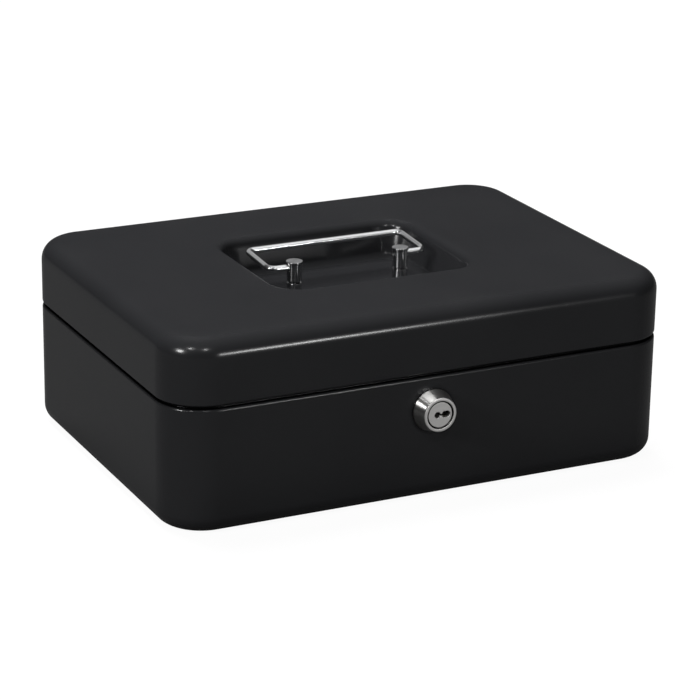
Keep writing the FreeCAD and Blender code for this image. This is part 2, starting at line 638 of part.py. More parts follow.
def cam_screw():
    head_low = CAM_BACK_Y + CAM_WASHER_THICKNESS
    head_high = head_low + SCREW_HEAD_HEIGHT
    head = rod_y(SCREW_HEAD_RADIUS, head_low, head_high)
    head = head.makeFillet(SCREW_HEAD_HEIGHT / 2, end_edges(head, head_high))
    shank = rod_y(SCREW_RADIUS, CAM_BACK_Y - SCREW_GRIP, head_low)
    slot = box((-SCREW_HEAD_RADIUS, SCREW_HEAD_RADIUS),
               (head_high - SCREW_SLOT_DEPTH, head_high + OVERCUT),
               (LOCK_HEIGHT - SCREW_SLOT_WIDTH / 2, LOCK_HEIGHT + SCREW_SLOT_WIDTH / 2))
    return fuse_all([shank, head]).cut(slot)


def lid_strike():
    """Folded strip welded inside the lid's front, with a foot that reaches under the cam."""
    across = (STRIKE_LEFT_X, STRIKE_LEFT_X + STRIKE_WIDTH)
    wall_y = FRONT_Y + SHEET
    inner_y = STRIKE_FACE_Y + STRIKE_THICKNESS
    step_top = STRIKE_STEP_Z + STRIKE_THICKNESS
    foot_top = LOCK_HEIGHT - CAM_WIDTH / 2 - STRIKE_CAM_CLEARANCE
    foot_low = foot_top - STRIKE_THICKNESS
    pad = box(across, (wall_y, wall_y + STRIKE_THICKNESS), (STRIKE_STEP_Z, STRIKE_PAD_TOP_Z))
    step = box(across, (wall_y, inner_y), (STRIKE_STEP_Z, step_top))
    tongue = box(across, (STRIKE_FACE_Y, inner_y), (foot_low, step_top))
    foot = box(across, (STRIKE_FACE_Y, CAM_BACK_Y + STRIKE_TOE), (foot_low, foot_top))
    return fuse_all([pad, step, tongue, foot])


# Coin tray

def cup(x_range, y_range):
    """One compartment, kept inside the tray's wall and scooped round its floor."""
    width = x_range[1] - x_range[0]
    depth = y_range[1] - y_range[0]
    floor_z = TRAY_LOW_Z + TRAY_WALL
    block = rounded_block(width, depth, TRAY_CUP_CORNER, floor_z, TRAY_DIVIDER_Z + OVERCUT,
                          x=sum(x_range) / 2, y=sum(y_range) / 2)
    block = block.common(case_block(TRAY_INSET + TRAY_WALL, floor_z, TRAY_WALL_TOP_Z))
    return round_level(block, TRAY_CUP_SCOOP, floor_z)


def tray_ear(side):
    """Raised end of the tray that hooks over the rim, on the straight part of one side wall."""
    wall_x = CASE_WIDTH / 2 - TRAY_INSET
    hook_x = CASE_WIDTH / 2 - RIM_INSET - TRAY_EAR_SETBACK
    inner_x = wall_x - TRAY_WALL
    along = (-TRAY_EAR_LENGTH / 2, TRAY_EAR_LENGTH / 2)
    riser = box(sorted((side * inner_x, side * wall_x)), along, (TRAY_WALL_TOP_Z, TRAY_TOP_Z))
    hook = box(sorted((side * inner_x, side * hook_x)), along, (RIM_TOP, TRAY_TOP_Z))
    return riser.fuse(hook)


def coin_tray():
    half_x = CASE_WIDTH / 2 - TRAY_INSET
    half_y = CASE_DEPTH / 2 - TRAY_INSET
    body = case_block(TRAY_INSET, TRAY_LOW_Z, TRAY_WALL_TOP_Z)
    body = round_level(body, TRAY_CUP_SCOOP + TRAY_WALL, TRAY_LOW_Z)
    notch_half = TRAY_NOTCH_WIDTH / 2
    notch_y = -half_y + TRAY_NOTCH_DEPTH
    notch = box((-notch_half, notch_half), (FRONT_Y, notch_y),
                (TRAY_LOW_Z - OVERCUT, TRAY_TOP_Z + OVERCUT))
    notch_wall = box((-notch_half - TRAY_WALL, notch_half + TRAY_WALL), (FRONT_Y, notch_y + TRAY_WALL),
                     (TRAY_LOW_Z, TRAY_TOP_Z + OVERCUT))
    mouth = case_block(TRAY_INSET + TRAY_WALL, TRAY_DIVIDER_Z, TRAY_WALL_TOP_Z + OVERCUT)
    mouth = mouth.cut(notch_wall)
    side_x = half_x - TRAY_WALL
    front_y = -half_y + TRAY_WALL
    back_y = half_y - TRAY_WALL
    gap = TRAY_WALL / 2
    inner_x = notch_half + TRAY_WALL
    cups = [cup((-side_x, -inner_x), (front_y, -gap)), cup((inner_x, side_x), (front_y, -gap)),
            cup((-notch_half, notch_half), (notch_y + TRAY_WALL, -gap))]
    pitch = (2 * side_x + TRAY_WALL) / TRAY_BACK_CUPS
    for index in range(TRAY_BACK_CUPS):
        low = -side_x + index * pitch
        cups.append(cup((low, low + pitch - TRAY_WALL), (gap, back_y)))
    tray = cut_all(body, [notch, mouth] + cups)
    return fuse_all([tray, tray_ear(-1), tray_ear(1)])


def nodes():
    """Every separate piece of the box under its own name."""
    return {
        "base_shell": base_shell(),
        "lid_shell": lid_shell(),
        "base_hinge_leaf": hinge_leaf(0, -1),
        "lid_hinge_leaf": hinge_leaf(1, 1),
        "hinge_pin": hinge_pin(),
        "handle_post_left": handle_post(-1),
        "handle_post_right": handle_post(1),
        "post_washers": post_washers(),
        "post_screws": post_screws(),
        "handle_bail": handle_bail(),
        "lock_collar": lock_collar(),
        "lock_housing": lock_housing(),
        "lock_washer": lock_washer(),
        "lock_nut": lock_nut(),
        "lock_plug": lock_plug(),
        "lock_wafers": lock_wafers(),
        "wafer_springs": wafer_springs(),
        "lock_cam": lock_cam(),
        "cam_washer": cam_washer(),
        "cam_screw": cam_screw(),
        "lid_strike": lid_strike(),
        "coin_tray": coin_tray(),
    }


def main():
    os.makedirs("parts", exist_ok=True)
    for name, shape in nodes().items():
        state = "valid" if shape.isValid() else "NOT VALID"
        print(name, state, len(shape.Solids), "solids", round(shape.Volume, 1), "mm3")
        shape.exportStep(os.path.join("parts", name + ".step"))


main()
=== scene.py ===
"""Looks of the black steel cash box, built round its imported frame.

Lengths of pieces are in millimetres and become metres where a mesh is made. +X runs along the
front to the right, +Y from the lock side to the hinge side, and +Z up from the floor.
"""

import json
import math

import bmesh
import bpy
from mathutils import Matrix, Vector


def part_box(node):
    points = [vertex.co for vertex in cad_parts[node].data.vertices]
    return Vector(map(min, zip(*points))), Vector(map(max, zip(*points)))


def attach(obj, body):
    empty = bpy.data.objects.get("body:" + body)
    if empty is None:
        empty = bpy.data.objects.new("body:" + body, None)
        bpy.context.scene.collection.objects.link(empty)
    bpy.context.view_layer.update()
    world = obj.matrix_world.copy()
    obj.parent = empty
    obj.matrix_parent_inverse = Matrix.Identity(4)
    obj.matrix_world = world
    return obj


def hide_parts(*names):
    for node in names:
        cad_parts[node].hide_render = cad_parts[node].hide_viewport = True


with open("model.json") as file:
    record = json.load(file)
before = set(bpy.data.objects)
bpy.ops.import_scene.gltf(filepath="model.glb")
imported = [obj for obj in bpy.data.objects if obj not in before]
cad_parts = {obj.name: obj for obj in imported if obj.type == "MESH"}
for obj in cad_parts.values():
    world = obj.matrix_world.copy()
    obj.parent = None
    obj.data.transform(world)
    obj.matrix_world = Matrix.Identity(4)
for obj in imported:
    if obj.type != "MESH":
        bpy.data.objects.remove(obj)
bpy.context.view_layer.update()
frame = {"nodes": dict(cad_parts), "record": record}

MM = 0.001

# Case: pressed steel base and lid
CORNER_RADIUS = 22.0
LID_ROLL = 9.2
LID_CROWN = 0.25
BASE_ROLL = 8.0
SHEET = 0.8
SEAM_Z = 59.6
SHOULDER_Z = 58.6
SHOULDER_ROLL = 1.3
HEM_TOP_Z = 63.8
HEM_ROLL = 1.25
HEM_THICKNESS = 1.6
RIM_INSET = 2.2
RIM_EDGE = 0.35
FOLD_INNER = 0.3
CAP_INSET = 20.0
TOP_PANEL_RINGS = 8

# Slot across the back that the hinge knuckles show in
SLOT_HALF_HEIGHT = 2.6
SLOT_HALF_LENGTH = 106.0
SLOT_TIP_HALF = 113.4
SLOT_TIP_HEIGHT = 0.2

# Well in the lid, measured at its sharp opening
WELL_HALF_X = 50.5
WELL_HALF_Y = 41.0
WELL_CENTRE_Y = 1.5
WELL_CORNER_RADIUS = 14.0
WELL_FLOOR_Z = 72.0
WELL_DRAFT = math.tan(math.radians(18.0))
WELL_LIP = 5.0
WELL_FLOOR_FILLET = 5.0
WELL_CAP = 6.0

# Handle: two turned posts and the wire bail between them
POST_X = 27.6
POST_Y = -2.0
POST_RADIUS = 3.5
POST_HEAD_RADIUS = 4.0
POST_HEAD_THICKNESS = 1.2
POST_HEAD_EDGE = 0.3
POST_TURNED_EDGE = 0.12
POST_GROOVE_BELOW_HEAD = 9.5
POST_GROOVE_WIDTH = 1.0
POST_GROOVE_DEPTH = 0.8
POST_TAPPING_RADIUS = 1.5
POST_TAPPING_DEPTH = 7.0
EYE_RADIUS = 1.6
EYE_BELOW_HEAD = 1.7
WIRE_RADIUS = 1.5
BAIL_HALF_WIDTH = 40.25
BAIL_REACH = 26.0
BAIL_CORNER_RADIUS = 3.5
BAIL_ELBOW_RADIUS = 4.0
BAIL_TIP_PAST_AXIS = 2.4
BAIL_TILT = math.radians(3.7)

# Lock: collar and housing in the front wall, and the turning plug
LOCK_Z = 42.6
LOCK_HOLE_RADIUS = 7.1
COLLAR_LENGTH = 6.6
COLLAR_WALL_RADIUS = 10.0
COLLAR_FACE_RADIUS = 8.0
COLLAR_EDGE = 0.3
FLANGE_THICKNESS = 0.9
FLANGE_EDGE = 0.35
TURNED_EDGE = 0.15
BARREL_RADIUS = 7.0
BARREL_FLAT = 6.2
BARREL_REACH = 13.0
THREAD_PITCH = 1.0
THREAD_DEPTH = 0.35
SEAT_RADIUS = 6.6
SEAT_DEPTH = 1.5
BORE_RADIUS = 5.55
PLUG_SINK = 0.45
PLUG_HEAD_RADIUS = 6.0
PLUG_HEAD_THICKNESS = 1.2
PLUG_HEAD_EDGE = 0.25
PLUG_RADIUS = 5.5
PLUG_END_Y = -76.9
PLUG_TAIL_HALF = 2.5
PLUG_TAIL_Y = -75.3
KEYWAY_LEFT_X = -1.3
KEYWAY_LEFT_RADIUS = 1.45
KEYWAY_RIGHT_X = 2.9
KEYWAY_RIGHT_HALF_WIDTH = 2.1
KEYWAY_RIGHT_HALF_HEIGHT = 1.5
KEYWAY_NECK_HALF_HEIGHT = 0.35
KEYWAY_BEVEL = 0.1
KEYWAY_DEPTH = 13.8
KEYWAY_STEPS = 24

# How finely curves are divided, and how close two points are welded
CORNER_STEPS = 22
LONG_SIDE_STEPS = 28
SHORT_SIDE_STEPS = 20
WIDE_ROLL = 3.0
ROLL_STEPS = 14
FOLD_STEPS = 6
LATHE_STEPS = 96
WIRE_STEPS = 32
SHARP_ANGLE = math.radians(38.0)
WELD = 0.002

# Camera, fitted to the outline of the box in the photograph
CAMERA_AZIMUTH = math.radians(-26.33)
CAMERA_ELEVATION = math.radians(19.25)
CAMERA_ROLL = math.radians(0.92)
CAMERA_DISTANCE = 1.286
CAMERA_TARGET = Vector((0.0, 0.0, 0.045))
CAMERA_SENSOR = 36.0
CAMERA_LENS = 139.47
CAMERA_SHIFT = (0.00786, -0.0090)
CAMERA_REACH = 100.0


def node_box(node):
    """Lowest and highest corner of a CAD node, in millimetres."""
    low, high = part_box(node)
    return low / MM, high / MM


base_high = node_box("base_shell")[1]
lid_low, lid_high = node_box("lid_shell")
HALF_X = base_high.x
HALF_Y = base_high.y
RIM_TOP_Z = base_high.z
LID_TOP_Z = lid_high.z
HEM_Z = lid_low.z
POST_TOP_Z = node_box("handle_post_left")[1].z
POST_HEAD_LOW_Z = POST_TOP_Z - POST_HEAD_THICKNESS
EYE_Z = POST_HEAD_LOW_Z - EYE_BELOW_HEAD
COLLAR_FACE_Y = -HALF_Y - COLLAR_LENGTH
LOCK_FACE_Y = COLLAR_FACE_Y - FLANGE_THICKNESS
BARREL_END_Y = -HALF_Y + BARREL_REACH
PLUG_FACE_Y = LOCK_FACE_Y + PLUG_SINK
PLUG_NECK_Y = PLUG_FACE_Y + PLUG_HEAD_THICKNESS
LOCK_AXIS = Vector((0.0, 0.0, LOCK_Z))


# Mesh tools

def new_piece(name, vertices, faces):
    """Mesh object from points in millimetres, welded, with its faces turned outwards."""
    mesh = bpy.data.meshes.new(name)
    mesh.from_pydata([Vector(point) * MM for point in vertices], [], faces)
    work = bmesh.new()
    work.from_mesh(mesh)
    bmesh.ops.remove_doubles(work, verts=work.verts, dist=WELD * MM)
    bmesh.ops.dissolve_degenerate(work, edges=work.edges, dist=WELD * MM)
    bmesh.ops.recalc_face_normals(work, faces=work.faces)
    work.to_mesh(mesh)
    work.free()
    piece = bpy.data.objects.new(name, mesh)
    bpy.context.scene.collection.objects.link(piece)
    return piece


def shade(piece):
    """Smooth shading that keeps flats flat and real edges sharp."""
    piece.data.polygons.foreach_set("use_smooth", [True] * len(piece.data.polygons))
    piece.data.set_sharp_from_angle(angle=SHARP_ANGLE)
    flats = piece.modifiers.new("flat_faces", "WEIGHTED_NORMAL")
    flats.keep_sharp = True


def cut_from(piece, cutter):
    """Takes the cutter's volume out of the piece, and removes the cutter."""
    cut = piece.modifiers.new("cut", "BOOLEAN")
    cut.object = cutter
    cut.solver = "EXACT"
    graph = bpy.context.evaluated_depsgraph_get()
    mesh = bpy.data.meshes.new_from_object(piece.evaluated_get(graph))
    piece.modifiers.clear()
    piece.data = mesh
    bpy.data.objects.remove(cutter)


def ring(half_x, half_y, radius, z, centre_y=0.0):
    """Level rounded rectangle, always with the same stations, anticlockwise from the right."""
    reach_x = half_x - radius
    reach_y = half_y - radius
    points = []
    signs = ((1, 1), (-1, 1), (-1, -1), (1, -1))
    for quarter, (sign_x, sign_y) in enumerate(signs):
        for step in range(CORNER_STEPS + 1):
            turn = math.pi / 2 * (quarter + step / CORNER_STEPS)
            points.append(Vector((sign_x * reach_x + radius * math.cos(turn),
                                  centre_y + sign_y * reach_y + radius * math.sin(turn), z)))
        next_x, next_y = signs[(quarter + 1) % 4]
        turn = math.pi / 2 * (quarter + 1)
        start = points[-1].copy()
        end = Vector((next_x * reach_x + radius * math.cos(turn),
                      centre_y + next_y * reach_y + radius * math.sin(turn), z))
        steps = (LONG_SIDE_STEPS, SHORT_SIDE_STEPS)[quarter % 2]
        points += [start.lerp(end, step / steps) for step in range(1, steps)]
    return points


def case_ring(inset, z):
    """Level ring round the case, set in from its outside."""
    return ring(HALF_X - inset, HALF_Y - inset, CORNER_RADIUS - inset, z)


def well_ring(draw_in, z):
    """Level ring round the well, drawn in from its sharp opening."""
    return ring(WELL_HALF_X - draw_in, WELL_HALF_Y - draw_in, WELL_CORNER_RADIUS - draw_in, z,
                centre_y=WELL_CENTRE_Y)


def rounded_path(corners):
    """Points of a bent line; a corner is (across, along, fillet radius), and both ends are sharp."""
    path = [Vector(corners[0][:2])]
    for before, (across, along, radius), after in zip(corners, corners[1:], corners[2:]):
        corner = Vector((across, along))
        towards = (Vector(before[:2]) - corner).normalized()
        onwards = (Vector(after[:2]) - corner).normalized()
        half_angle = towards.angle(onwards) / 2
        reach = radius / math.tan(half_angle)
        centre = corner + (towards + onwards).normalized() * (radius / math.sin(half_angle))
        start = corner + towards * reach - centre
        end = corner + onwards * reach - centre
        steps = ROLL_STEPS if radius >= WIDE_ROLL else FOLD_STEPS
        path += [centre + start.slerp(end, step / steps).normalized() * radius for step in range(steps + 1)]
    path.append(Vector(corners[-1][:2]))
    return path


def loft(name, rings, capped=True):
    """Skin through rings with the same stations, with flat caps at both ends where it is capped."""
    count = len(rings[0])
    vertices = [point for points in rings for point in points]
    faces = []
    for level in range(len(rings) - 1):
        first = level * count
        for station in range(count):
            beside = (station + 1) % count
            faces.append((first + station, first + beside, first + count + beside, first + count + station))
    if capped:
        last = (len(rings) - 1) * count
        faces.append(tuple(range(count)))
        faces.append(tuple(range(last, last + count)))
    return new_piece(name, vertices, faces)


def turned_rings(profile, middle, axis):
    """Round rings about a line through middle; the profile gives (radius, place along the axis)."""
    across, over, line = {"x": "YZX", "y": "XZY", "z": "XYZ"}[axis]
    unit = {"X": Vector((1, 0, 0)), "Y": Vector((0, 1, 0)), "Z": Vector((0, 0, 1))}
    turns = [2 * math.pi * step / LATHE_STEPS for step in range(LATHE_STEPS)]
    rings = []
    for radius, along in profile:
        spokes = [unit[across] * math.cos(turn) + unit[over] * math.sin(turn) for turn in turns]
        rings.append([middle + unit[line] * along + spoke * radius for spoke in spokes])
    return rings


# Case

def slot_height(point):
    """Half height of the hinge slot where the point is, or 0 away from the back."""
    x = abs(point.x)
    if point.y < HALF_Y - CORNER_RADIUS or x >= SLOT_TIP_HALF:
        return 0.0
    if x <= SLOT_HALF_LENGTH:
        return SLOT_HALF_HEIGHT
    share = (SLOT_TIP_HALF - x) / (SLOT_TIP_HALF - SLOT_HALF_LENGTH)
    return SLOT_TIP_HEIGHT + share * (SLOT_HALF_HEIGHT - SLOT_TIP_HEIGHT)


def lid_ring(inset, z):
    """Ring of the lid, with its hem left out and its edge raised along the hinge slot."""
    points = case_ring(inset, z)
    plain = case_ring(min(inset, SHEET), z)
    for index, point in enumerate(plain):
        height = slot_height(point)
        if height and z <= HEM_TOP_Z:
            point.z = max(z, SEAM_Z + height)
            points[index] = point
    return points


def base_ring(inset, z):
    """Ring of the base, with its rim left out and its edge lowered along the hinge slot."""
    points = case_ring(inset, z)
    plain = case_ring(min(inset, SHEET), z)
    for index, point in enumerate(plain):
        height = slot_height(point)
        if height and z > SEAM_Z - height:
            point.z = SEAM_Z - height
            points[index] = point
    return points


def case_base():
    """Pressed base: floor, walls, shoulder and the rim that stands up inside the lid."""
    under_shoulder = SHOULDER_Z - SHEET
    inner_rim = RIM_INSET + SHEET
    corners = [
        (CAP_INSET, SHEET, 0.0),
        (SHEET, SHEET, BASE_ROLL - SHEET),
        (SHEET, under_shoulder, SHOULDER_ROLL - SHEET),
        (inner_rim, under_shoulder, FOLD_INNER),
        (inner_rim, RIM_TOP_Z, RIM_EDGE),
        (RIM_INSET, RIM_TOP_Z, RIM_EDGE),
        (RIM_INSET, SHOULDER_Z, FOLD_INNER),
        (0.0, SHOULDER_Z, SHOULDER_ROLL),
        (0.0, 0.0, BASE_ROLL),
        (CAP_INSET, 0.0, 0.0),
    ]
    piece = loft("case_base", [base_ring(inset, z) for inset, z in rounded_path(corners)])
    hole = [(LOCK_HOLE_RADIUS, -HALF_Y - CORNER_RADIUS), (LOCK_HOLE_RADIUS, -HALF_Y + CORNER_RADIUS)]
    cut_from(piece, loft("lock_hole", turned_rings(hole, LOCK_AXIS, "y")))
    return piece


def panel_rings(inner, outer, rise):
    """Rings between the well and the edge roll, crowned by rise in between."""
    rings = []
    for step in range(1, TOP_PANEL_RINGS):
        share = step / TOP_PANEL_RINGS
        crown = Vector((0.0, 0.0, rise * math.sin(math.pi * share)))
        rings.append([low.lerp(high, share) + crown for low, high in zip(inner, outer)])
    return rings


def case_lid():
    """Pressed lid: well, top, rolled edge, walls, turned-in hem and the underside."""
    floor_in = (LID_TOP_Z - WELL_FLOOR_Z) * WELL_DRAFT
    ceiling_z = LID_TOP_Z - SHEET
    under_z = WELL_FLOOR_Z - SHEET
    grown = SHEET * math.sqrt(1 + WELL_DRAFT ** 2)
    lip_corners = [
        (floor_in + WELL_CAP, WELL_FLOOR_Z, 0.0),
        (floor_in, WELL_FLOOR_Z, WELL_FLOOR_FILLET),
        (0.0, LID_TOP_Z, WELL_LIP),
        (-WELL_LIP, LID_TOP_Z, 0.0),
    ]
    skirt_corners = [
        (LID_ROLL + SHEET, LID_TOP_Z, 0.0),
        (0.0, LID_TOP_Z, LID_ROLL),
        (0.0, HEM_Z, HEM_ROLL),
        (HEM_THICKNESS, HEM_Z, FOLD_INNER),
        (HEM_THICKNESS, HEM_TOP_Z, FOLD_INNER),
        (SHEET, HEM_TOP_Z, FOLD_INNER),
        (SHEET, ceiling_z, LID_ROLL - SHEET),
        (LID_ROLL + SHEET, ceiling_z, 0.0),
    ]
    under_corners = [
        (-WELL_LIP, ceiling_z, 0.0),
        (SHEET * WELL_DRAFT - grown, ceiling_z, WELL_LIP - SHEET),
        ((LID_TOP_Z - under_z) * WELL_DRAFT - grown, under_z, WELL_FLOOR_FILLET + SHEET),
        (floor_in + WELL_CAP, under_z, 0.0),
    ]
    well = [well_ring(draw_in, z) for draw_in, z in rounded_path(lip_corners)]
    skirt = [lid_ring(inset, z) for inset, z in rounded_path(skirt_corners)]
    under = [well_ring(draw_in, z) for draw_in, z in rounded_path(under_corners)]
    top = panel_rings(well[-1], skirt[0], LID_CROWN)
    ceiling = panel_rings(skirt[-1], under[0], LID_CROWN)
    return loft("case_lid", well + top + skirt + ceiling + under)


# Handle

def bail_post(name, side):
    """Turned post with a flat head, a groove, the wire's eye and a tapped hole underneath."""
    axis = Vector((side * POST_X, POST_Y, 0.0))
    groove_top = POST_TOP_Z - POST_GROOVE_BELOW_HEAD
    groove_low = groove_top - POST_GROOVE_WIDTH
    groove_radius = POST_RADIUS - POST_GROOVE_DEPTH
    tapping_top = WELL_FLOOR_Z + POST_TAPPING_DEPTH
    edge = POST_TURNED_EDGE
    corners = [
        (0.0, tapping_top, 0.0),
        (POST_TAPPING_RADIUS, tapping_top, edge),
        (POST_TAPPING_RADIUS, WELL_FLOOR_Z, edge),
        (POST_RADIUS, WELL_FLOOR_Z, edge),
        (POST_RADIUS, groove_low, edge),
        (groove_radius, groove_low, edge),
        (groove_radius, groove_top, edge),
        (POST_RADIUS, groove_top, edge),
        (POST_RADIUS, POST_HEAD_LOW_Z, edge),
        (POST_HEAD_RADIUS, POST_HEAD_LOW_Z, edge),
        (POST_HEAD_RADIUS, POST_TOP_Z, POST_HEAD_EDGE),
        (0.0, POST_TOP_Z, 0.0),
    ]
    piece = loft(name, turned_rings(rounded_path(corners), axis, "z"), capped=False)
    eye = [(EYE_RADIUS, -POST_HEAD_RADIUS), (EYE_RADIUS, POST_HEAD_RADIUS)]
    cut_from(piece, loft("eye", turned_rings(eye, axis + Vector((0.0, 0.0, EYE_Z)), "x")))
    return piece


def bail_wire():
    """One wire bent round the back of the well, with its tips turned into the posts."""
    tip = POST_X - BAIL_TIP_PAST_AXIS
    half = BAIL_HALF_WIDTH
    route = rounded_path([
        (-tip, 0.0, 0.0),
        (-half, 0.0, BAIL_ELBOW_RADIUS),
        (-half, BAIL_REACH, BAIL_CORNER_RADIUS),
        (half, BAIL_REACH, BAIL_CORNER_RADIUS),
        (half, 0.0, BAIL_ELBOW_RADIUS),
        (tip, 0.0, 0.0),
    ])
    tilt = Matrix.Rotation(BAIL_TILT, 3, "X")
    pivot = Vector((0.0, POST_Y, EYE_Z))
    rings = []
    for index, place in enumerate(route):
        run = (route[min(index + 1, len(route) - 1)] - route[max(index - 1, 0)]).normalized()
        side = Vector((run.y, -run.x, 0.0))
        points = []
        for step in range(WIRE_STEPS):
            turn = 2 * math.pi * step / WIRE_STEPS
            spoke = side * math.cos(turn) + Vector((0.0, 0.0, math.sin(turn)))
            points.append(pivot + tilt @ (place.to_3d() + spoke * WIRE_RADIUS))
        rings.append(points)
    piece = loft("bail_wire", rings)
    grain_round(piece, WIRE_STEPS)
    return piece


def grain_round(piece, stations):
    """Lays the map that a drawn finish takes its direction from: U round the wire, V along it."""
    grain = piece.data.uv_layers.new(name="grain")
    for face in piece.data.polygons:
        corners = [piece.data.loops[index].vertex_index for index in face.loop_indices]
        wraps = {0, stations - 1} <= {corner % stations for corner in corners}
        for index, corner in zip(face.loop_indices, corners):
            station = corner % stations
            turned = stations if wraps and station == 0 else station
            grain.data[index].uv = (turned / stations, corner // stations)


# Lock

def lock_cone():
    """Tapered collar between the housing's flange and the front wall."""
    middle_y = (COLLAR_FACE_Y - HALF_Y) / 2
    corners = [
        (LOCK_HOLE_RADIUS, middle_y, 0.0),
        (LOCK_HOLE_RADIUS, COLLAR_FACE_Y, TURNED_EDGE),
        (COLLAR_FACE_RADIUS, COLLAR_FACE_Y, TURNED_EDGE),
        (COLLAR_WALL_RADIUS, -HALF_Y, COLLAR_EDGE),
        (LOCK_HOLE_RADIUS, -HALF_Y, TURNED_EDGE),
        (LOCK_HOLE_RADIUS, middle_y, 0.0),
    ]
    return loft("lock_cone", turned_rings(rounded_path(corners), LOCK_AXIS, "y"), capped=False)


def lock_barrel():
    """Housing: flange, threaded barrel with two flats, and the bore that the plug turns in."""
    seat_y = LOCK_FACE_Y + SEAT_DEPTH
    corners = [
        (SEAT_RADIUS, (LOCK_FACE_Y + seat_y) / 2, 0.0),
        (SEAT_RADIUS, LOCK_FACE_Y, TURNED_EDGE),
        (COLLAR_FACE_RADIUS, LOCK_FACE_Y, FLANGE_EDGE),
        (COLLAR_FACE_RADIUS, COLLAR_FACE_Y, TURNED_EDGE),
        (BARREL_RADIUS, COLLAR_FACE_Y, TURNED_EDGE),
        (BARREL_RADIUS, -HALF_Y, 0.0),
    ]
    profile = rounded_path(corners)
    turns = int(BARREL_REACH / THREAD_PITCH)
    for turn in range(turns):
        root_y = -HALF_Y + (turn + 0.5) * THREAD_PITCH
        profile.append(Vector((BARREL_RADIUS - THREAD_DEPTH, root_y)))
        profile.append(Vector((BARREL_RADIUS, root_y + THREAD_PITCH / 2)))
    profile += [Vector(place) for place in ((BORE_RADIUS, BARREL_END_Y), (BORE_RADIUS, seat_y),
                                            (SEAT_RADIUS, seat_y), profile[0])]
    rings = turned_rings(profile, LOCK_AXIS, "y")
    for place, points in zip(profile, rings):
        if place.y > COLLAR_FACE_Y:
            for point in points:
                point.z = max(LOCK_Z - BARREL_FLAT, min(LOCK_Z + BARREL_FLAT, point.z))
    return loft("lock_barrel", rings, capped=False)


def arc(centre_x, radius, start, sweep):
    """Points of an arc in the plug's face, as (x, height over the lock's axis)."""
    points = []
    for step in range(KEYWAY_STEPS + 1):
        turn = start + sweep * step / KEYWAY_STEPS
        points.append((centre_x + radius * math.cos(turn), radius * math.sin(turn)))
    return points


def keyway_ring(grow, y):
    """Outline of the keyway at one depth, anticlockwise seen from the front, grown by grow."""
    neck = KEYWAY_NECK_HALF_HEIGHT + grow
    left_radius = KEYWAY_LEFT_RADIUS + grow
    left_open = math.asin(neck / left_radius)
    end_radius = KEYWAY_RIGHT_HALF_HEIGHT + grow
    right_open = math.asin(neck / end_radius)
    reach = KEYWAY_RIGHT_HALF_WIDTH - KEYWAY_RIGHT_HALF_HEIGHT
    quarter = math.pi / 2
    outline = arc(KEYWAY_LEFT_X, left_radius, left_open, 2 * math.pi - 2 * left_open)
    outline += arc(KEYWAY_RIGHT_X - reach, end_radius, math.pi + right_open, quarter - right_open)
    outline += arc(KEYWAY_RIGHT_X + reach, end_radius, -quarter, math.pi)
    outline += arc(KEYWAY_RIGHT_X - reach, end_radius, quarter, quarter - right_open)
    return [Vector((x, y, LOCK_Z + height)) for x, height in outline]


def lock_core():
    """Turning plug: round head, keyway with a worn bevel, body and square tail."""
    corners = [
        (0.0, PLUG_FACE_Y, 0.0),
        (PLUG_HEAD_RADIUS, PLUG_FACE_Y, PLUG_HEAD_EDGE),
        (PLUG_HEAD_RADIUS, PLUG_NECK_Y, TURNED_EDGE),
        (PLUG_RADIUS, PLUG_NECK_Y, TURNED_EDGE),
        (PLUG_RADIUS, PLUG_END_Y, TURNED_EDGE),
        (PLUG_TAIL_HALF, PLUG_END_Y, 0.0),
    ]
    rings = turned_rings(rounded_path(corners), LOCK_AXIS, "y")
    for y in (PLUG_END_Y, PLUG_TAIL_Y):
        square = turned_rings([(1.0, y)], LOCK_AXIS, "y")[0]
        for point in square:
            widest = max(abs(point.x), abs(point.z - LOCK_Z))
            point.x *= PLUG_TAIL_HALF / widest
            point.z = LOCK_Z + (point.z - LOCK_Z) * PLUG_TAIL_HALF / widest
        rings.append(square)
    piece = loft("lock_core", rings)
    keyway = [keyway_ring(2 * KEYWAY_BEVEL, PLUG_FACE_Y - KEYWAY_BEVEL),
              keyway_ring(0.0, PLUG_FACE_Y + KEYWAY_BEVEL),
              keyway_ring(0.0, PLUG_FACE_Y + KEYWAY_DEPTH)]
    cut_from(piece, loft("keyway", keyway))
    return piece


# Node tools

def add(tree, kind, values=(), links=(), **settings):
    """Shader node of that kind with its settings, socket values and incoming links."""
    made = tree.nodes.new("ShaderNode" + kind)
    for name, value in settings.items():
        setattr(made, name, value)
    for name, value in dict(values).items():
        made.inputs[name].default_value = value
    for name, socket in dict(links).items():
        tree.links.new(socket, made.inputs[name])
    return made


def effect(name, inputs, outputs):
    """Empty shader group with named float inputs and outputs; gives the group and its two ends."""
    group = bpy.data.node_groups.new(name, "ShaderNodeTree")
    for label, default in inputs.items():
        socket = group.interface.new_socket(label, in_out="INPUT", socket_type="NodeSocketFloat")
        socket.default_value = default
    for label in outputs:
        group.interface.new_socket(label, in_out="OUTPUT", socket_type="NodeSocketFloat")
    return group, group.nodes.new("NodeGroupInput"), group.nodes.new("NodeGroupOutput")


def place_in_mm(group):
    """Point on the piece, in millimetres."""
    where = add(group, "TexCoord")
    return add(group, "VectorMath", {1: (1 / MM, 1 / MM, 1 / MM)}, {0: where.outputs["Object"]},
               operation="MULTIPLY").outputs["Vector"]


def noise(group, point, per_mm, detail, links=()):
    """Cloudy value; per_mm is its scale, unless links carry one."""
    return add(group, "TexNoise", {"Scale": per_mm, "Detail": detail, "Roughness": NOISE_ROUGHNESS},
               {"Vector": point, **dict(links)}).outputs["Fac"]


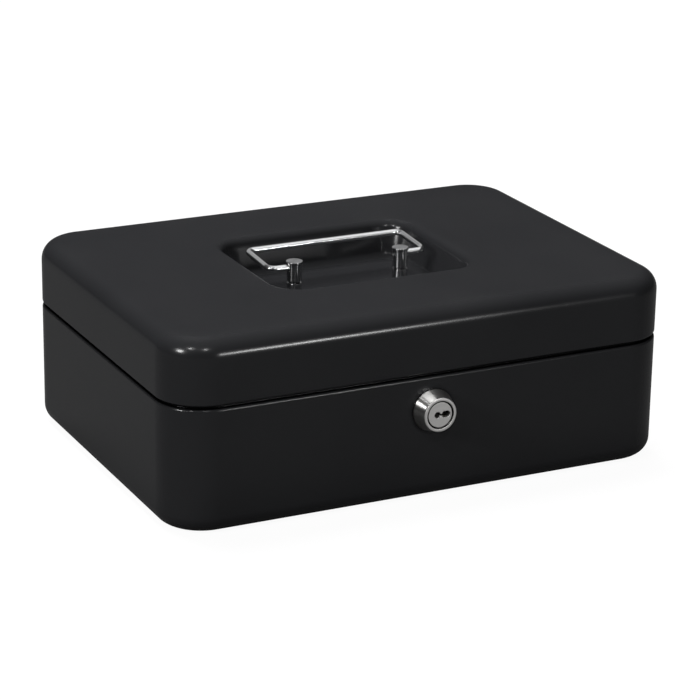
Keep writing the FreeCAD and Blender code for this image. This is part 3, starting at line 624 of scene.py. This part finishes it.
def spread(group, value, low, high, to_low, to_high):
    """Value stretched from one range to another, and held inside it."""
    return add(group, "MapRange", {"From Min": low, "From Max": high, "To Min": to_low, "To Max": to_high},
               {"Value": value}, clamp=True).outputs["Result"]


def math_node(group, operation, first, second):
    """Sum, product or such of two sockets or numbers."""
    made = add(group, "Math", operation=operation)
    for index, item in enumerate((first, second)):
        if isinstance(item, (int, float)):
            made.inputs[index].default_value = item
        else:
            group.links.new(item, made.inputs[index])
    return made.outputs["Value"]


# Shared effects

NOISE_ROUGHNESS = 0.55
NOISE_RANGE = (0.3, 0.7)
HAIR_LAYS = ((0.4, 0.05), (1.9, 0.08))
HAIR_WIDTH = 0.012
MARK_PATCHES_PER_MM = 0.03
MARK_PATCH_RANGE = (0.45, 0.7)
DUST_SPECKS_PER_MM = 2.6
DUST_SPECK_RANGE = (0.62, 0.8)
DUST_VEIL_PER_MM = 0.05
DUST_VEIL_RANGE = (0.35, 0.75)
DUST_VEIL_SHARE = 0.6
DUST_STEEPEST = 0.6
DRAW_SLANT = 0.4
# Painted shade: ambient occlusion turns seams, holes and folds near-black
FOLD_SHADE_SAMPLES = 12
FOLD_SHADE_RANGE = (0.4, 0.92)
FOLD_SHADE_BLACK = (0.004, 0.004, 0.0042)


def orange_peel():
    """Slow flow of baked paint or moulded skin: a fine height and a broad mottle."""
    group, start, end = effect("orange_peel", {"Cell": 1.4, "Mottle Size": 45.0}, ["Height", "Mottle"])
    point = place_in_mm(group)
    fine = math_node(group, "DIVIDE", 1.0, start.outputs["Cell"])
    height = noise(group, point, 1.0, 2.0, {"Scale": fine})
    broad = math_node(group, "DIVIDE", 1.0, start.outputs["Mottle Size"])
    mottle = noise(group, point, 1.0, 3.0, {"Scale": broad})
    group.links.new(height, end.inputs["Height"])
    group.links.new(spread(group, mottle, *NOISE_RANGE, 0.0, 1.0), end.inputs["Mottle"])
    return group


def handling_marks():
    """Thin scuffs and hairlines that handling leaves in a finish."""
    group, start, end = effect("handling_marks", {"Spacing": 16.0, "Amount": 0.5}, ["Mask"])
    point = place_in_mm(group)
    per_mm = math_node(group, "DIVIDE", 1.0, start.outputs["Spacing"])
    hairs = None
    for turn, stretch in HAIR_LAYS:
        laid = add(group, "Mapping", {"Rotation": (turn, turn / 2, turn), "Scale": (1.0, stretch, 1.0)},
                   {"Vector": point}).outputs["Vector"]
        lines = noise(group, laid, 1.0, 4.0, {"Scale": per_mm})
        off_line = math_node(group, "ABSOLUTE", math_node(group, "SUBTRACT", lines, 0.5), 0.0)
        thin = spread(group, off_line, 0.0, HAIR_WIDTH, 1.0, 0.0)
        hairs = thin if hairs is None else math_node(group, "MAXIMUM", hairs, thin)
    patches = spread(group, noise(group, point, MARK_PATCHES_PER_MM, 2.0), *MARK_PATCH_RANGE, 0.0, 1.0)
    patchy = math_node(group, "MULTIPLY", hairs, patches)
    mask = math_node(group, "MULTIPLY", patchy, start.outputs["Amount"])
    group.links.new(mask, end.inputs["Mask"])
    return group


def settled_dust():
    """Thin dust on faces that look up, thicker in patches."""
    group, start, end = effect("settled_dust", {"Amount": 0.1}, ["Mask"])
    point = place_in_mm(group)
    normal = add(group, "NewGeometry").outputs["Normal"]
    up = add(group, "SeparateXYZ", links={"Vector": normal}).outputs["Z"]
    facing = spread(group, up, DUST_STEEPEST, 1.0, 0.0, 1.0)
    specks = spread(group, noise(group, point, DUST_SPECKS_PER_MM, 2.0), *DUST_SPECK_RANGE, 0.0, 1.0)
    clouds = noise(group, point, DUST_VEIL_PER_MM, 3.0)
    veil = spread(group, clouds, *DUST_VEIL_RANGE, 0.0, DUST_VEIL_SHARE)
    film = math_node(group, "ADD", specks, veil)
    lying = math_node(group, "MULTIPLY", film, facing)
    mask = math_node(group, "MULTIPLY", lying, start.outputs["Amount"])
    group.links.new(mask, end.inputs["Mask"])
    return group


def brushed_lines():
    """Fine turning lines round the lock's axis, or straight draw lines, in height and tone."""
    group, start, end = effect("brushed_lines", {"Turned": 1.0, "Spacing": 0.12}, ["Height", "Tone"])
    point = place_in_mm(group)
    parts = add(group, "SeparateXYZ", links={"Vector": point})
    from_axis = math_node(group, "SUBTRACT", parts.outputs["Z"], LOCK_Z)
    square_x = math_node(group, "MULTIPLY", parts.outputs["X"], parts.outputs["X"])
    square_z = math_node(group, "MULTIPLY", from_axis, from_axis)
    radius = math_node(group, "SQRT", math_node(group, "ADD", square_x, square_z), 0.0)
    slant = math_node(group, "MULTIPLY", parts.outputs["Y"], DRAW_SLANT)
    straight = math_node(group, "ADD", parts.outputs["Z"], slant)
    apart = math_node(group, "SUBTRACT", radius, straight)
    across = math_node(group, "ADD", straight, math_node(group, "MULTIPLY", apart, start.outputs["Turned"]))
    lines = math_node(group, "DIVIDE", across, start.outputs["Spacing"])
    laid = add(group, "CombineXYZ", links={"X": lines}).outputs["Vector"]
    height = noise(group, laid, 1.0, 3.0)
    group.links.new(height, end.inputs["Height"])
    group.links.new(spread(group, height, *NOISE_RANGE, 0.0, 1.0), end.inputs["Tone"])
    return group


def painted_fold_shade():
    """Painted shade in seams, holes and folds: an ambient occlusion mask, high where little light gets in.
    """
    group, start, end = effect("painted_fold_shade", {"Reach": 4.0, "Amount": 0.9}, ["Mask"])
    reach = math_node(group, "MULTIPLY", start.outputs["Reach"], MM)
    openness = add(group, "AmbientOcclusion", links={"Distance": reach}, samples=FOLD_SHADE_SAMPLES)
    shut = spread(group, openness.outputs["AO"], *FOLD_SHADE_RANGE, 1.0, 0.0)
    group.links.new(math_node(group, "MULTIPLY", shut, start.outputs["Amount"]), end.inputs["Mask"])
    return group


EFFECTS = {
    "peel": orange_peel(),
    "marks": handling_marks(),
    "dust": settled_dust(),
    "lines": brushed_lines(),
    "fold_shade": painted_fold_shade(),
}


# Finishes

CHROME_TONES = ((0.74, 0.745, 0.755), (0.79, 0.795, 0.80))
CHROME_ROUGH = (0.17, 0.21)
POST_TONES = ((0.40, 0.402, 0.41), (0.50, 0.502, 0.51))
COLLAR_TONES = ((0.62, 0.615, 0.60), (0.70, 0.695, 0.68))
COLLAR_ROUGH = (0.29, 0.34)
FACE_TONES = ((0.64, 0.635, 0.62), (0.76, 0.755, 0.74))
FACE_ROUGH = (0.42, 0.5)
FACE_MARK_ROUGH = 0.15
LINED_MARK_ROUGH = 0.12
LOCK_LINE_SPACING = 0.16
PAINT_TONES = ((0.0200, 0.0204, 0.0222), (0.0226, 0.0230, 0.0248))
PAINT_ROUGH = (0.18, 0.22)
PAINT_DUST = (0.09, 0.088, 0.084)
PAINT_WEAR_ROUGH = 0.25
ZINC_TONES = ((0.50, 0.52, 0.55), (0.60, 0.60, 0.58))
ZINC_ROUGH = (0.28, 0.42)
BRASS_TONES = ((0.58, 0.40, 0.16), (0.74, 0.55, 0.26))
SPRING_TONES = ((0.36, 0.36, 0.37), (0.48, 0.48, 0.49))
SMALL_PART_ROUGH = (0.25, 0.4)
TRAY_TONES = ((0.045, 0.045, 0.047), (0.055, 0.055, 0.057))
TRAY_ROUGH = (0.48, 0.6)
TRAY_DUST = (0.13, 0.127, 0.12)
TRAY_MARK_POLISH = 0.15
MIX_LOW, MIX_HIGH, MIX_RESULT = 6, 7, 2


def finish(name, **sockets):
    """Material with a Principled shader whose constant sockets are set; gives all three."""
    material = bpy.data.materials.new(name)
    material.use_nodes = True
    tree = material.node_tree
    shader = tree.nodes["Principled BSDF"]
    for label, value in sockets.items():
        shader.inputs[label.replace("_", " ")].default_value = value
    return material, tree, shader


def use(tree, key, **values):
    """Shared effect placed in a material with its own values."""
    made = tree.nodes.new("ShaderNodeGroup")
    made.node_tree = EFFECTS[key]
    for label, value in values.items():
        made.inputs[label.replace("_", " ")].default_value = value
    return made.outputs


def blend_colour(tree, mask, low, high):
    """Colour that goes from low to high with the mask; low is a colour or a socket."""
    made = add(tree, "Mix", data_type="RGBA")
    made.inputs[MIX_HIGH].default_value = (*high, 1.0)
    if isinstance(low, tuple):
        made.inputs[MIX_LOW].default_value = (*low, 1.0)
    else:
        tree.links.new(low, made.inputs[MIX_LOW])
    tree.links.new(mask, made.inputs["Factor"])
    return made.outputs[MIX_RESULT]


def bump(tree, shader, height, strength, depth_mm):
    """Gives the shader a fine relief."""
    made = add(tree, "Bump", {"Strength": strength, "Distance": depth_mm * MM}, {"Height": height})
    tree.links.new(made.outputs["Normal"], shader.inputs["Normal"])


def black_enamel():
    """Baked black paint: slight orange peel, soft mottle, hairline scuffs, a trace of dust.

    Painted shade makes it dull and near-black in seams and folds; there Metallic takes its gloss away.
    """
    material, tree, shader = finish("black_enamel", IOR=1.45, Specular_IOR_Level=0.5)
    peel = use(tree, "peel", Cell=1.6, Mottle_Size=55.0)
    marks = use(tree, "marks", Spacing=24.0, Amount=0.12)["Mask"]
    dust = use(tree, "dust", Amount=0.04)["Mask"]
    tone = blend_colour(tree, peel["Mottle"], *PAINT_TONES)
    dusty = blend_colour(tree, dust, tone, PAINT_DUST)
    # Painted shade: the occlusion mask turns the paint near-black and metallic in seams and folds
    fold_shade = use(tree, "fold_shade", Reach=3.5)["Mask"]
    tree.links.new(fold_shade, shader.inputs["Metallic"])
    tree.links.new(blend_colour(tree, fold_shade, dusty, FOLD_SHADE_BLACK), shader.inputs["Base Color"])
    rough = math_node(tree, "ADD", spread(tree, peel["Mottle"], 0.0, 1.0, *PAINT_ROUGH),
                      math_node(tree, "MULTIPLY", math_node(tree, "ADD", marks, dust), PAINT_WEAR_ROUGH))
    tree.links.new(rough, shader.inputs["Roughness"])
    bump(tree, shader, peel["Height"], strength=0.15, depth_mm=0.02)
    return material


def lined_metal(name, direction, turned, spacing, tones, rough, **sockets):
    """Plated metal whose fine lines stretch its highlights; direction sets the tangent they follow."""
    material, tree, shader = finish(name, Metallic=1.0, **sockets)
    lines = use(tree, "lines", Turned=turned, Spacing=spacing)
    marks = use(tree, "marks", Spacing=4.0, Amount=0.6)["Mask"]
    # Painted shade: near-black in grooves and holes where little light gets in
    fold_shade = use(tree, "fold_shade", Reach=1.5)["Mask"]
    clean = blend_colour(tree, lines["Tone"], *tones)
    tree.links.new(blend_colour(tree, fold_shade, clean, FOLD_SHADE_BLACK), shader.inputs["Base Color"])
    soft = math_node(tree, "ADD", spread(tree, lines["Tone"], 0.0, 1.0, *rough),
                     math_node(tree, "MULTIPLY", marks, LINED_MARK_ROUGH))
    tree.links.new(soft, shader.inputs["Roughness"])
    tangent = add(tree, "Tangent", **direction)
    tree.links.new(tangent.outputs["Tangent"], shader.inputs["Tangent"])
    return material, tree, shader, lines


def drawn_chrome():
    """Chromed wire of the bail, polished along its length."""
    material, tree, shader = finish("drawn_chrome", Metallic=1.0, Anisotropic=0.6)
    peel = use(tree, "peel", Cell=0.8, Mottle_Size=9.0)
    tree.links.new(blend_colour(tree, peel["Mottle"], *CHROME_TONES), shader.inputs["Base Color"])
    tree.links.new(spread(tree, peel["Mottle"], 0.0, 1.0, *CHROME_ROUGH), shader.inputs["Roughness"])
    tangent = add(tree, "Tangent", direction_type="UV_MAP", uv_map="grain")
    tree.links.new(tangent.outputs["Tangent"], shader.inputs["Tangent"])
    return material


def turned_chrome():
    """Chromed posts of the handle, with turning lines round them."""
    direction = {"direction_type": "RADIAL", "axis": "Z"}
    material, tree, shader, lines = lined_metal(
        "turned_chrome", direction, turned=0.0, spacing=0.5, tones=POST_TONES, rough=CHROME_ROUGH,
        Anisotropic=1.0, Anisotropic_Rotation=0.25)
    bump(tree, shader, lines["Height"], strength=0.04, depth_mm=0.01)
    return material


def turned_nickel():
    """Nickel of the lock's collar, with fine turning lines round the lock's axis."""
    direction = {"direction_type": "RADIAL", "axis": "Y"}
    material, tree, shader, lines = lined_metal(
        "turned_nickel", direction, turned=1.0, spacing=LOCK_LINE_SPACING, tones=COLLAR_TONES,
        rough=COLLAR_ROUGH, Anisotropic=0.9, Anisotropic_Rotation=0.25)
    bump(tree, shader, lines["Height"], strength=0.04, depth_mm=0.02)
    return material


def satin_nickel():
    """Satin nickel of the lock's housing and plug, with fine rings round the keyway."""
    material, tree, shader = finish("satin_nickel", Metallic=1.0)
    lines = use(tree, "lines", Turned=1.0, Spacing=LOCK_LINE_SPACING)
    marks = use(tree, "marks", Spacing=2.0, Amount=1.0)["Mask"]
    clean = blend_colour(tree, lines["Tone"], *FACE_TONES)
    # Painted shade: near-black in the seat and keyway where little light gets in
    fold_shade = use(tree, "fold_shade", Reach=2.0, Amount=1.0)["Mask"]
    tree.links.new(blend_colour(tree, fold_shade, clean, FOLD_SHADE_BLACK), shader.inputs["Base Color"])
    rough = math_node(tree, "ADD", spread(tree, lines["Tone"], 0.0, 1.0, *FACE_ROUGH),
                      math_node(tree, "MULTIPLY", marks, FACE_MARK_ROUGH))
    tree.links.new(rough, shader.inputs["Roughness"])
    bump(tree, shader, lines["Height"], strength=0.15, depth_mm=0.02)
    return material


def bright_zinc():
    """Zinc-plated steel with a cloudy tint and draw lines."""
    material, tree, shader = finish("bright_zinc", Metallic=1.0)
    peel = use(tree, "peel", Cell=0.6, Mottle_Size=4.0)
    lines = use(tree, "lines", Turned=0.0, Spacing=0.25)
    tone = blend_colour(tree, peel["Mottle"], *ZINC_TONES)
    tree.links.new(tone, shader.inputs["Base Color"])
    tree.links.new(spread(tree, lines["Tone"], 0.0, 1.0, *ZINC_ROUGH), shader.inputs["Roughness"])
    bump(tree, shader, lines["Height"], strength=0.15, depth_mm=0.02)
    return material


def stamped_brass():
    """Brass of the wafers, with stamping lines, slight tarnish and painted shade that makes it near-black
    deep in the lock.
    """
    material, tree, shader = finish("stamped_brass", Metallic=1.0)
    peel = use(tree, "peel", Cell=0.5, Mottle_Size=2.0)
    lines = use(tree, "lines", Turned=0.0, Spacing=0.15)
    tone = blend_colour(tree, peel["Mottle"], *BRASS_TONES)
    # Painted shade: ambient occlusion turns the wafers near-black inside the keyway
    fold_shade = use(tree, "fold_shade", Reach=8.0, Amount=0.97)["Mask"]
    tree.links.new(blend_colour(tree, fold_shade, tone, FOLD_SHADE_BLACK), shader.inputs["Base Color"])
    tree.links.new(spread(tree, lines["Tone"], 0.0, 1.0, *SMALL_PART_ROUGH), shader.inputs["Roughness"])
    bump(tree, shader, lines["Height"], strength=0.15, depth_mm=0.01)
    return material


def drawn_spring_steel():
    """Grey drawn wire of the wafer springs."""
    material, tree, shader = finish("drawn_spring_steel", Metallic=1.0)
    peel = use(tree, "peel", Cell=0.2, Mottle_Size=1.0)
    tone = blend_colour(tree, peel["Mottle"], *SPRING_TONES)
    tree.links.new(tone, shader.inputs["Base Color"])
    tree.links.new(spread(tree, peel["Mottle"], 0.0, 1.0, *SMALL_PART_ROUGH), shader.inputs["Roughness"])
    bump(tree, shader, peel["Height"], strength=0.1, depth_mm=0.01)
    return material


def tray_moulding():
    """Black moulded plastic with a fine eroded skin and dust in its cups."""
    material, tree, shader = finish("tray_moulding", IOR=1.46)
    peel = use(tree, "peel", Cell=0.35, Mottle_Size=30.0)
    marks = use(tree, "marks", Spacing=10.0, Amount=0.6)["Mask"]
    dust = use(tree, "dust", Amount=0.2)["Mask"]
    tone = blend_colour(tree, peel["Mottle"], *TRAY_TONES)
    tree.links.new(blend_colour(tree, dust, tone, TRAY_DUST), shader.inputs["Base Color"])
    rough = math_node(tree, "SUBTRACT", spread(tree, peel["Mottle"], 0.0, 1.0, *TRAY_ROUGH),
                      math_node(tree, "MULTIPLY", marks, TRAY_MARK_POLISH))
    tree.links.new(rough, shader.inputs["Roughness"])
    bump(tree, shader, peel["Height"], strength=0.35, depth_mm=0.04)
    return material


FINISHES = {
    "case_paint": black_enamel(),
    "chrome": turned_chrome(),
    "lock_nickel": satin_nickel(),
    "zinc_steel": bright_zinc(),
    "wafer_brass": stamped_brass(),
    "spring_steel": drawn_spring_steel(),
    "tray_plastic": tray_moulding(),
}


def dress(piece, material):
    """Makes a material the only one of a piece."""
    piece.data.materials.clear()
    piece.data.materials.append(material)


def stand_in(piece, body, slot, node):
    """Dresses a piece of the scene, puts it on its body and hides the CAD node it stands for."""
    shade(piece)
    dress(piece, FINISHES[slot])
    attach(piece, body)
    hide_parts(node)


# Pieces

for subpart in frame["record"]["subparts"]:
    dress(frame["nodes"][subpart["node"]], FINISHES[subpart["material_slot"]])

stand_in(case_base(), "base", "case_paint", "base_shell")
stand_in(case_lid(), "lid", "case_paint", "lid_shell")
stand_in(bail_post("bail_post_left", -1), "lid", "chrome", "handle_post_left")
stand_in(bail_post("bail_post_right", 1), "lid", "chrome", "handle_post_right")
wire = bail_wire()
stand_in(wire, "bail", "chrome", "handle_bail")
dress(wire, drawn_chrome())
cone = lock_cone()
stand_in(cone, "base", "lock_nickel", "lock_collar")
dress(cone, turned_nickel())
stand_in(lock_barrel(), "base", "lock_nickel", "lock_housing")
stand_in(lock_core(), "plug", "lock_nickel", "lock_plug")


# Stage, light and camera

FLOOR_HALF = 30.0
FLOOR_Z = -0.0002
FLOOR_COLOUR = (0.08, 0.08, 0.08, 1.0)
FLOOR_GLOW = 0.945
FLOOR_GLOW_IN_MIRRORS = 0.02
SKY_LEVELS = ((0.0, 0.03), (0.3, 0.015), (0.6, 0.06), (1.0, 0.15))

# Places that lamps are aimed at
FRONT_CORNER = (-0.112, -0.079, 0.086)
FRONT_EDGE = (0.0, -0.08, 0.085)
LID_MIDDLE = (0.0, 0.0, 0.08)
CASE_MIDDLE = (0.0, 0.0, 0.05)
LOCK_FRONT = (0.0, -0.1, 0.05)

# Lamps: name, place aimed at, direction from there, distance, size and radiance
COMPACT_LAMPS = (
    ("left_softbox", FRONT_CORNER, (-0.87, -0.24, 0.432), 1.3, (0.28, 0.22), 33.0),
    ("front_strip", FRONT_EDGE, (0.415, -1.092, 0.162), 1.18, (0.151, 0.075), 60.0),
    ("corner_lamp", FRONT_CORNER, (-0.54, -0.427, 0.725), 1.3, (0.10, 0.08), 70.0),
    ("side_lamp", FRONT_CORNER, (-0.127, -0.717, 0.685), 1.3, (0.08, 0.08), 66.0),
)

# Wide fills that reflections don't show
FILL_LAMPS = (
    ("overhead_fill", LID_MIDDLE, (-0.05, 0.36, 0.93), 1.6, (0.9, 0.9), 14.0),
    ("back_fill", CASE_MIDDLE, (0.55, 0.82, 0.16), 1.6, (1.2, 0.8), 4.5),
)

# Weak panels that stand for pale surroundings in bare metal, each with the pieces it lights
HANDLE_PIECES = ("bail_post_left", "bail_post_right", "bail_wire")
LOCK_FACE_PIECES = ("lock_barrel", "lock_core")
METAL_PANELS = (
    (HANDLE_PIECES, ("handle_top_panel", LID_MIDDLE, (0.36, 0.05, 0.93), 1.2, (1.6, 1.2), 0.92)),
    (("bail_wire",), ("handle_front_panel", LID_MIDDLE, (0.25, -0.8, 0.55), 1.2, (1.6, 0.9), 0.42)),
    (HANDLE_PIECES, ("handle_backdrop", LID_MIDDLE, (0.1, 0.9, 0.4), 1.2, (1.6, 0.6), 0.4)),
    (("lock_cone", *LOCK_FACE_PIECES), ("lock_panel", LOCK_FRONT, (-0.2, -0.1, 0.97), 1.2, (0.8, 0.8), 4.6)),
    (LOCK_FACE_PIECES, ("lock_front_panel", LOCK_FRONT, (0.42, -0.9, 0.18), 1.2, (0.8, 0.45), 1.8)),
)


def floor():
    """Pale floor that reads as a white ground, keeps the box's shadow and glows little in mirrors."""
    mesh = bpy.data.meshes.new("floor")
    half = FLOOR_HALF
    corners = [(x, y, FLOOR_Z) for x, y in ((-half, -half), (half, -half), (half, half), (-half, half))]
    mesh.from_pydata(corners, [], [(0, 1, 2, 3)])
    ground = bpy.data.objects.new("floor", mesh)
    bpy.context.scene.collection.objects.link(ground)
    material = bpy.data.materials.new("white_ground")
    material.use_nodes = True
    tree = material.node_tree
    tree.nodes.clear()
    path = add(tree, "LightPath")
    seen = math_node(tree, "MAXIMUM", path.outputs["Is Camera Ray"], path.outputs["Is Transmission Ray"])
    mirrored = math_node(tree, "MULTIPLY", path.outputs["Is Glossy Ray"], FLOOR_GLOW_IN_MIRRORS)
    strength = math_node(tree, "ADD", math_node(tree, "MULTIPLY", seen, FLOOR_GLOW), mirrored)
    matt = add(tree, "BsdfDiffuse", {"Color": FLOOR_COLOUR})
    glow = add(tree, "Emission", {"Color": (1.0, 1.0, 1.0, 1.0)}, {"Strength": strength})
    both = add(tree, "AddShader", links={0: matt.outputs["BSDF"], 1: glow.outputs["Emission"]})
    add(tree, "OutputMaterial", links={"Surface": both.outputs["Shader"]})
    mesh.materials.append(material)


def sky():
    """Soft studio surround: dim round the sides and lighter overhead."""
    world = bpy.data.worlds.new("studio")
    world.use_nodes = True
    tree = world.node_tree
    tree.nodes.clear()
    where = add(tree, "TexCoord")
    height = add(tree, "SeparateXYZ", links={"Vector": where.outputs["Generated"]}).outputs["Z"]
    ramp = add(tree, "ValToRGB", links={"Fac": height})
    ramp.color_ramp.interpolation = "B_SPLINE"
    elements = ramp.color_ramp.elements
    while len(elements) < len(SKY_LEVELS):
        elements.new(0.5)
    for element, (place, level) in zip(elements, SKY_LEVELS):
        element.position = place
        element.color = (level, level, level, 1.0)
    background = add(tree, "Background", {"Strength": 1.0}, {"Color": ramp.outputs["Color"]})
    add(tree, "OutputWorld", links={"Surface": background.outputs["Background"]})
    bpy.context.scene.world = world


def lamp(name, target, towards, distance, size, radiance):
    """Rectangular softbox seen from target in a direction; radiance is its brightness at any size."""
    data = bpy.data.lights.new(name, "AREA")
    data.shape = "RECTANGLE"
    data.size, data.size_y = size
    data.energy = radiance * math.pi * size[0] * size[1]
    way = Vector(towards).normalized()
    softbox = bpy.data.objects.new(name, data)
    softbox.location = Vector(target) + way * distance
    softbox.rotation_euler = (-way).to_track_quat("-Z", "Y").to_euler()
    bpy.context.scene.collection.objects.link(softbox)
    return softbox


def light_only(softbox, names):
    """Keeps a softbox to the bare metal pieces it is meant for."""
    pieces = bpy.data.collections.new(softbox.name)
    for name in names:
        pieces.objects.link(bpy.data.objects[name])
    softbox.light_linking.receiver_collection = pieces


def camera():
    """Camera at the photograph's viewing angle."""
    data = bpy.data.cameras.new("camera")
    data.sensor_width = CAMERA_SENSOR
    data.lens = CAMERA_LENS
    data.shift_x, data.shift_y = CAMERA_SHIFT
    data.clip_end = CAMERA_REACH
    level = math.cos(CAMERA_ELEVATION)
    back = Vector((math.sin(CAMERA_AZIMUTH) * level, -math.cos(CAMERA_AZIMUTH) * level,
                   math.sin(CAMERA_ELEVATION)))
    turn = Matrix.Rotation(CAMERA_ROLL, 3, back)
    right = turn @ Vector((math.cos(CAMERA_AZIMUTH), math.sin(CAMERA_AZIMUTH), 0.0))
    view = Matrix((right, back.cross(right), back)).transposed().to_4x4()
    view.translation = CAMERA_TARGET + back * CAMERA_DISTANCE
    eye = bpy.data.objects.new("camera", data)
    eye.matrix_world = view
    bpy.context.scene.collection.objects.link(eye)
    bpy.context.scene.camera = eye


floor()
sky()
for row in COMPACT_LAMPS:
    lamp(*row)
for row in FILL_LAMPS:
    lamp(*row).visible_glossy = False
for pieces, row in METAL_PANELS:
    light_only(lamp(*row), pieces)
camera()
bpy.context.scene.view_settings.view_transform = "Standard"
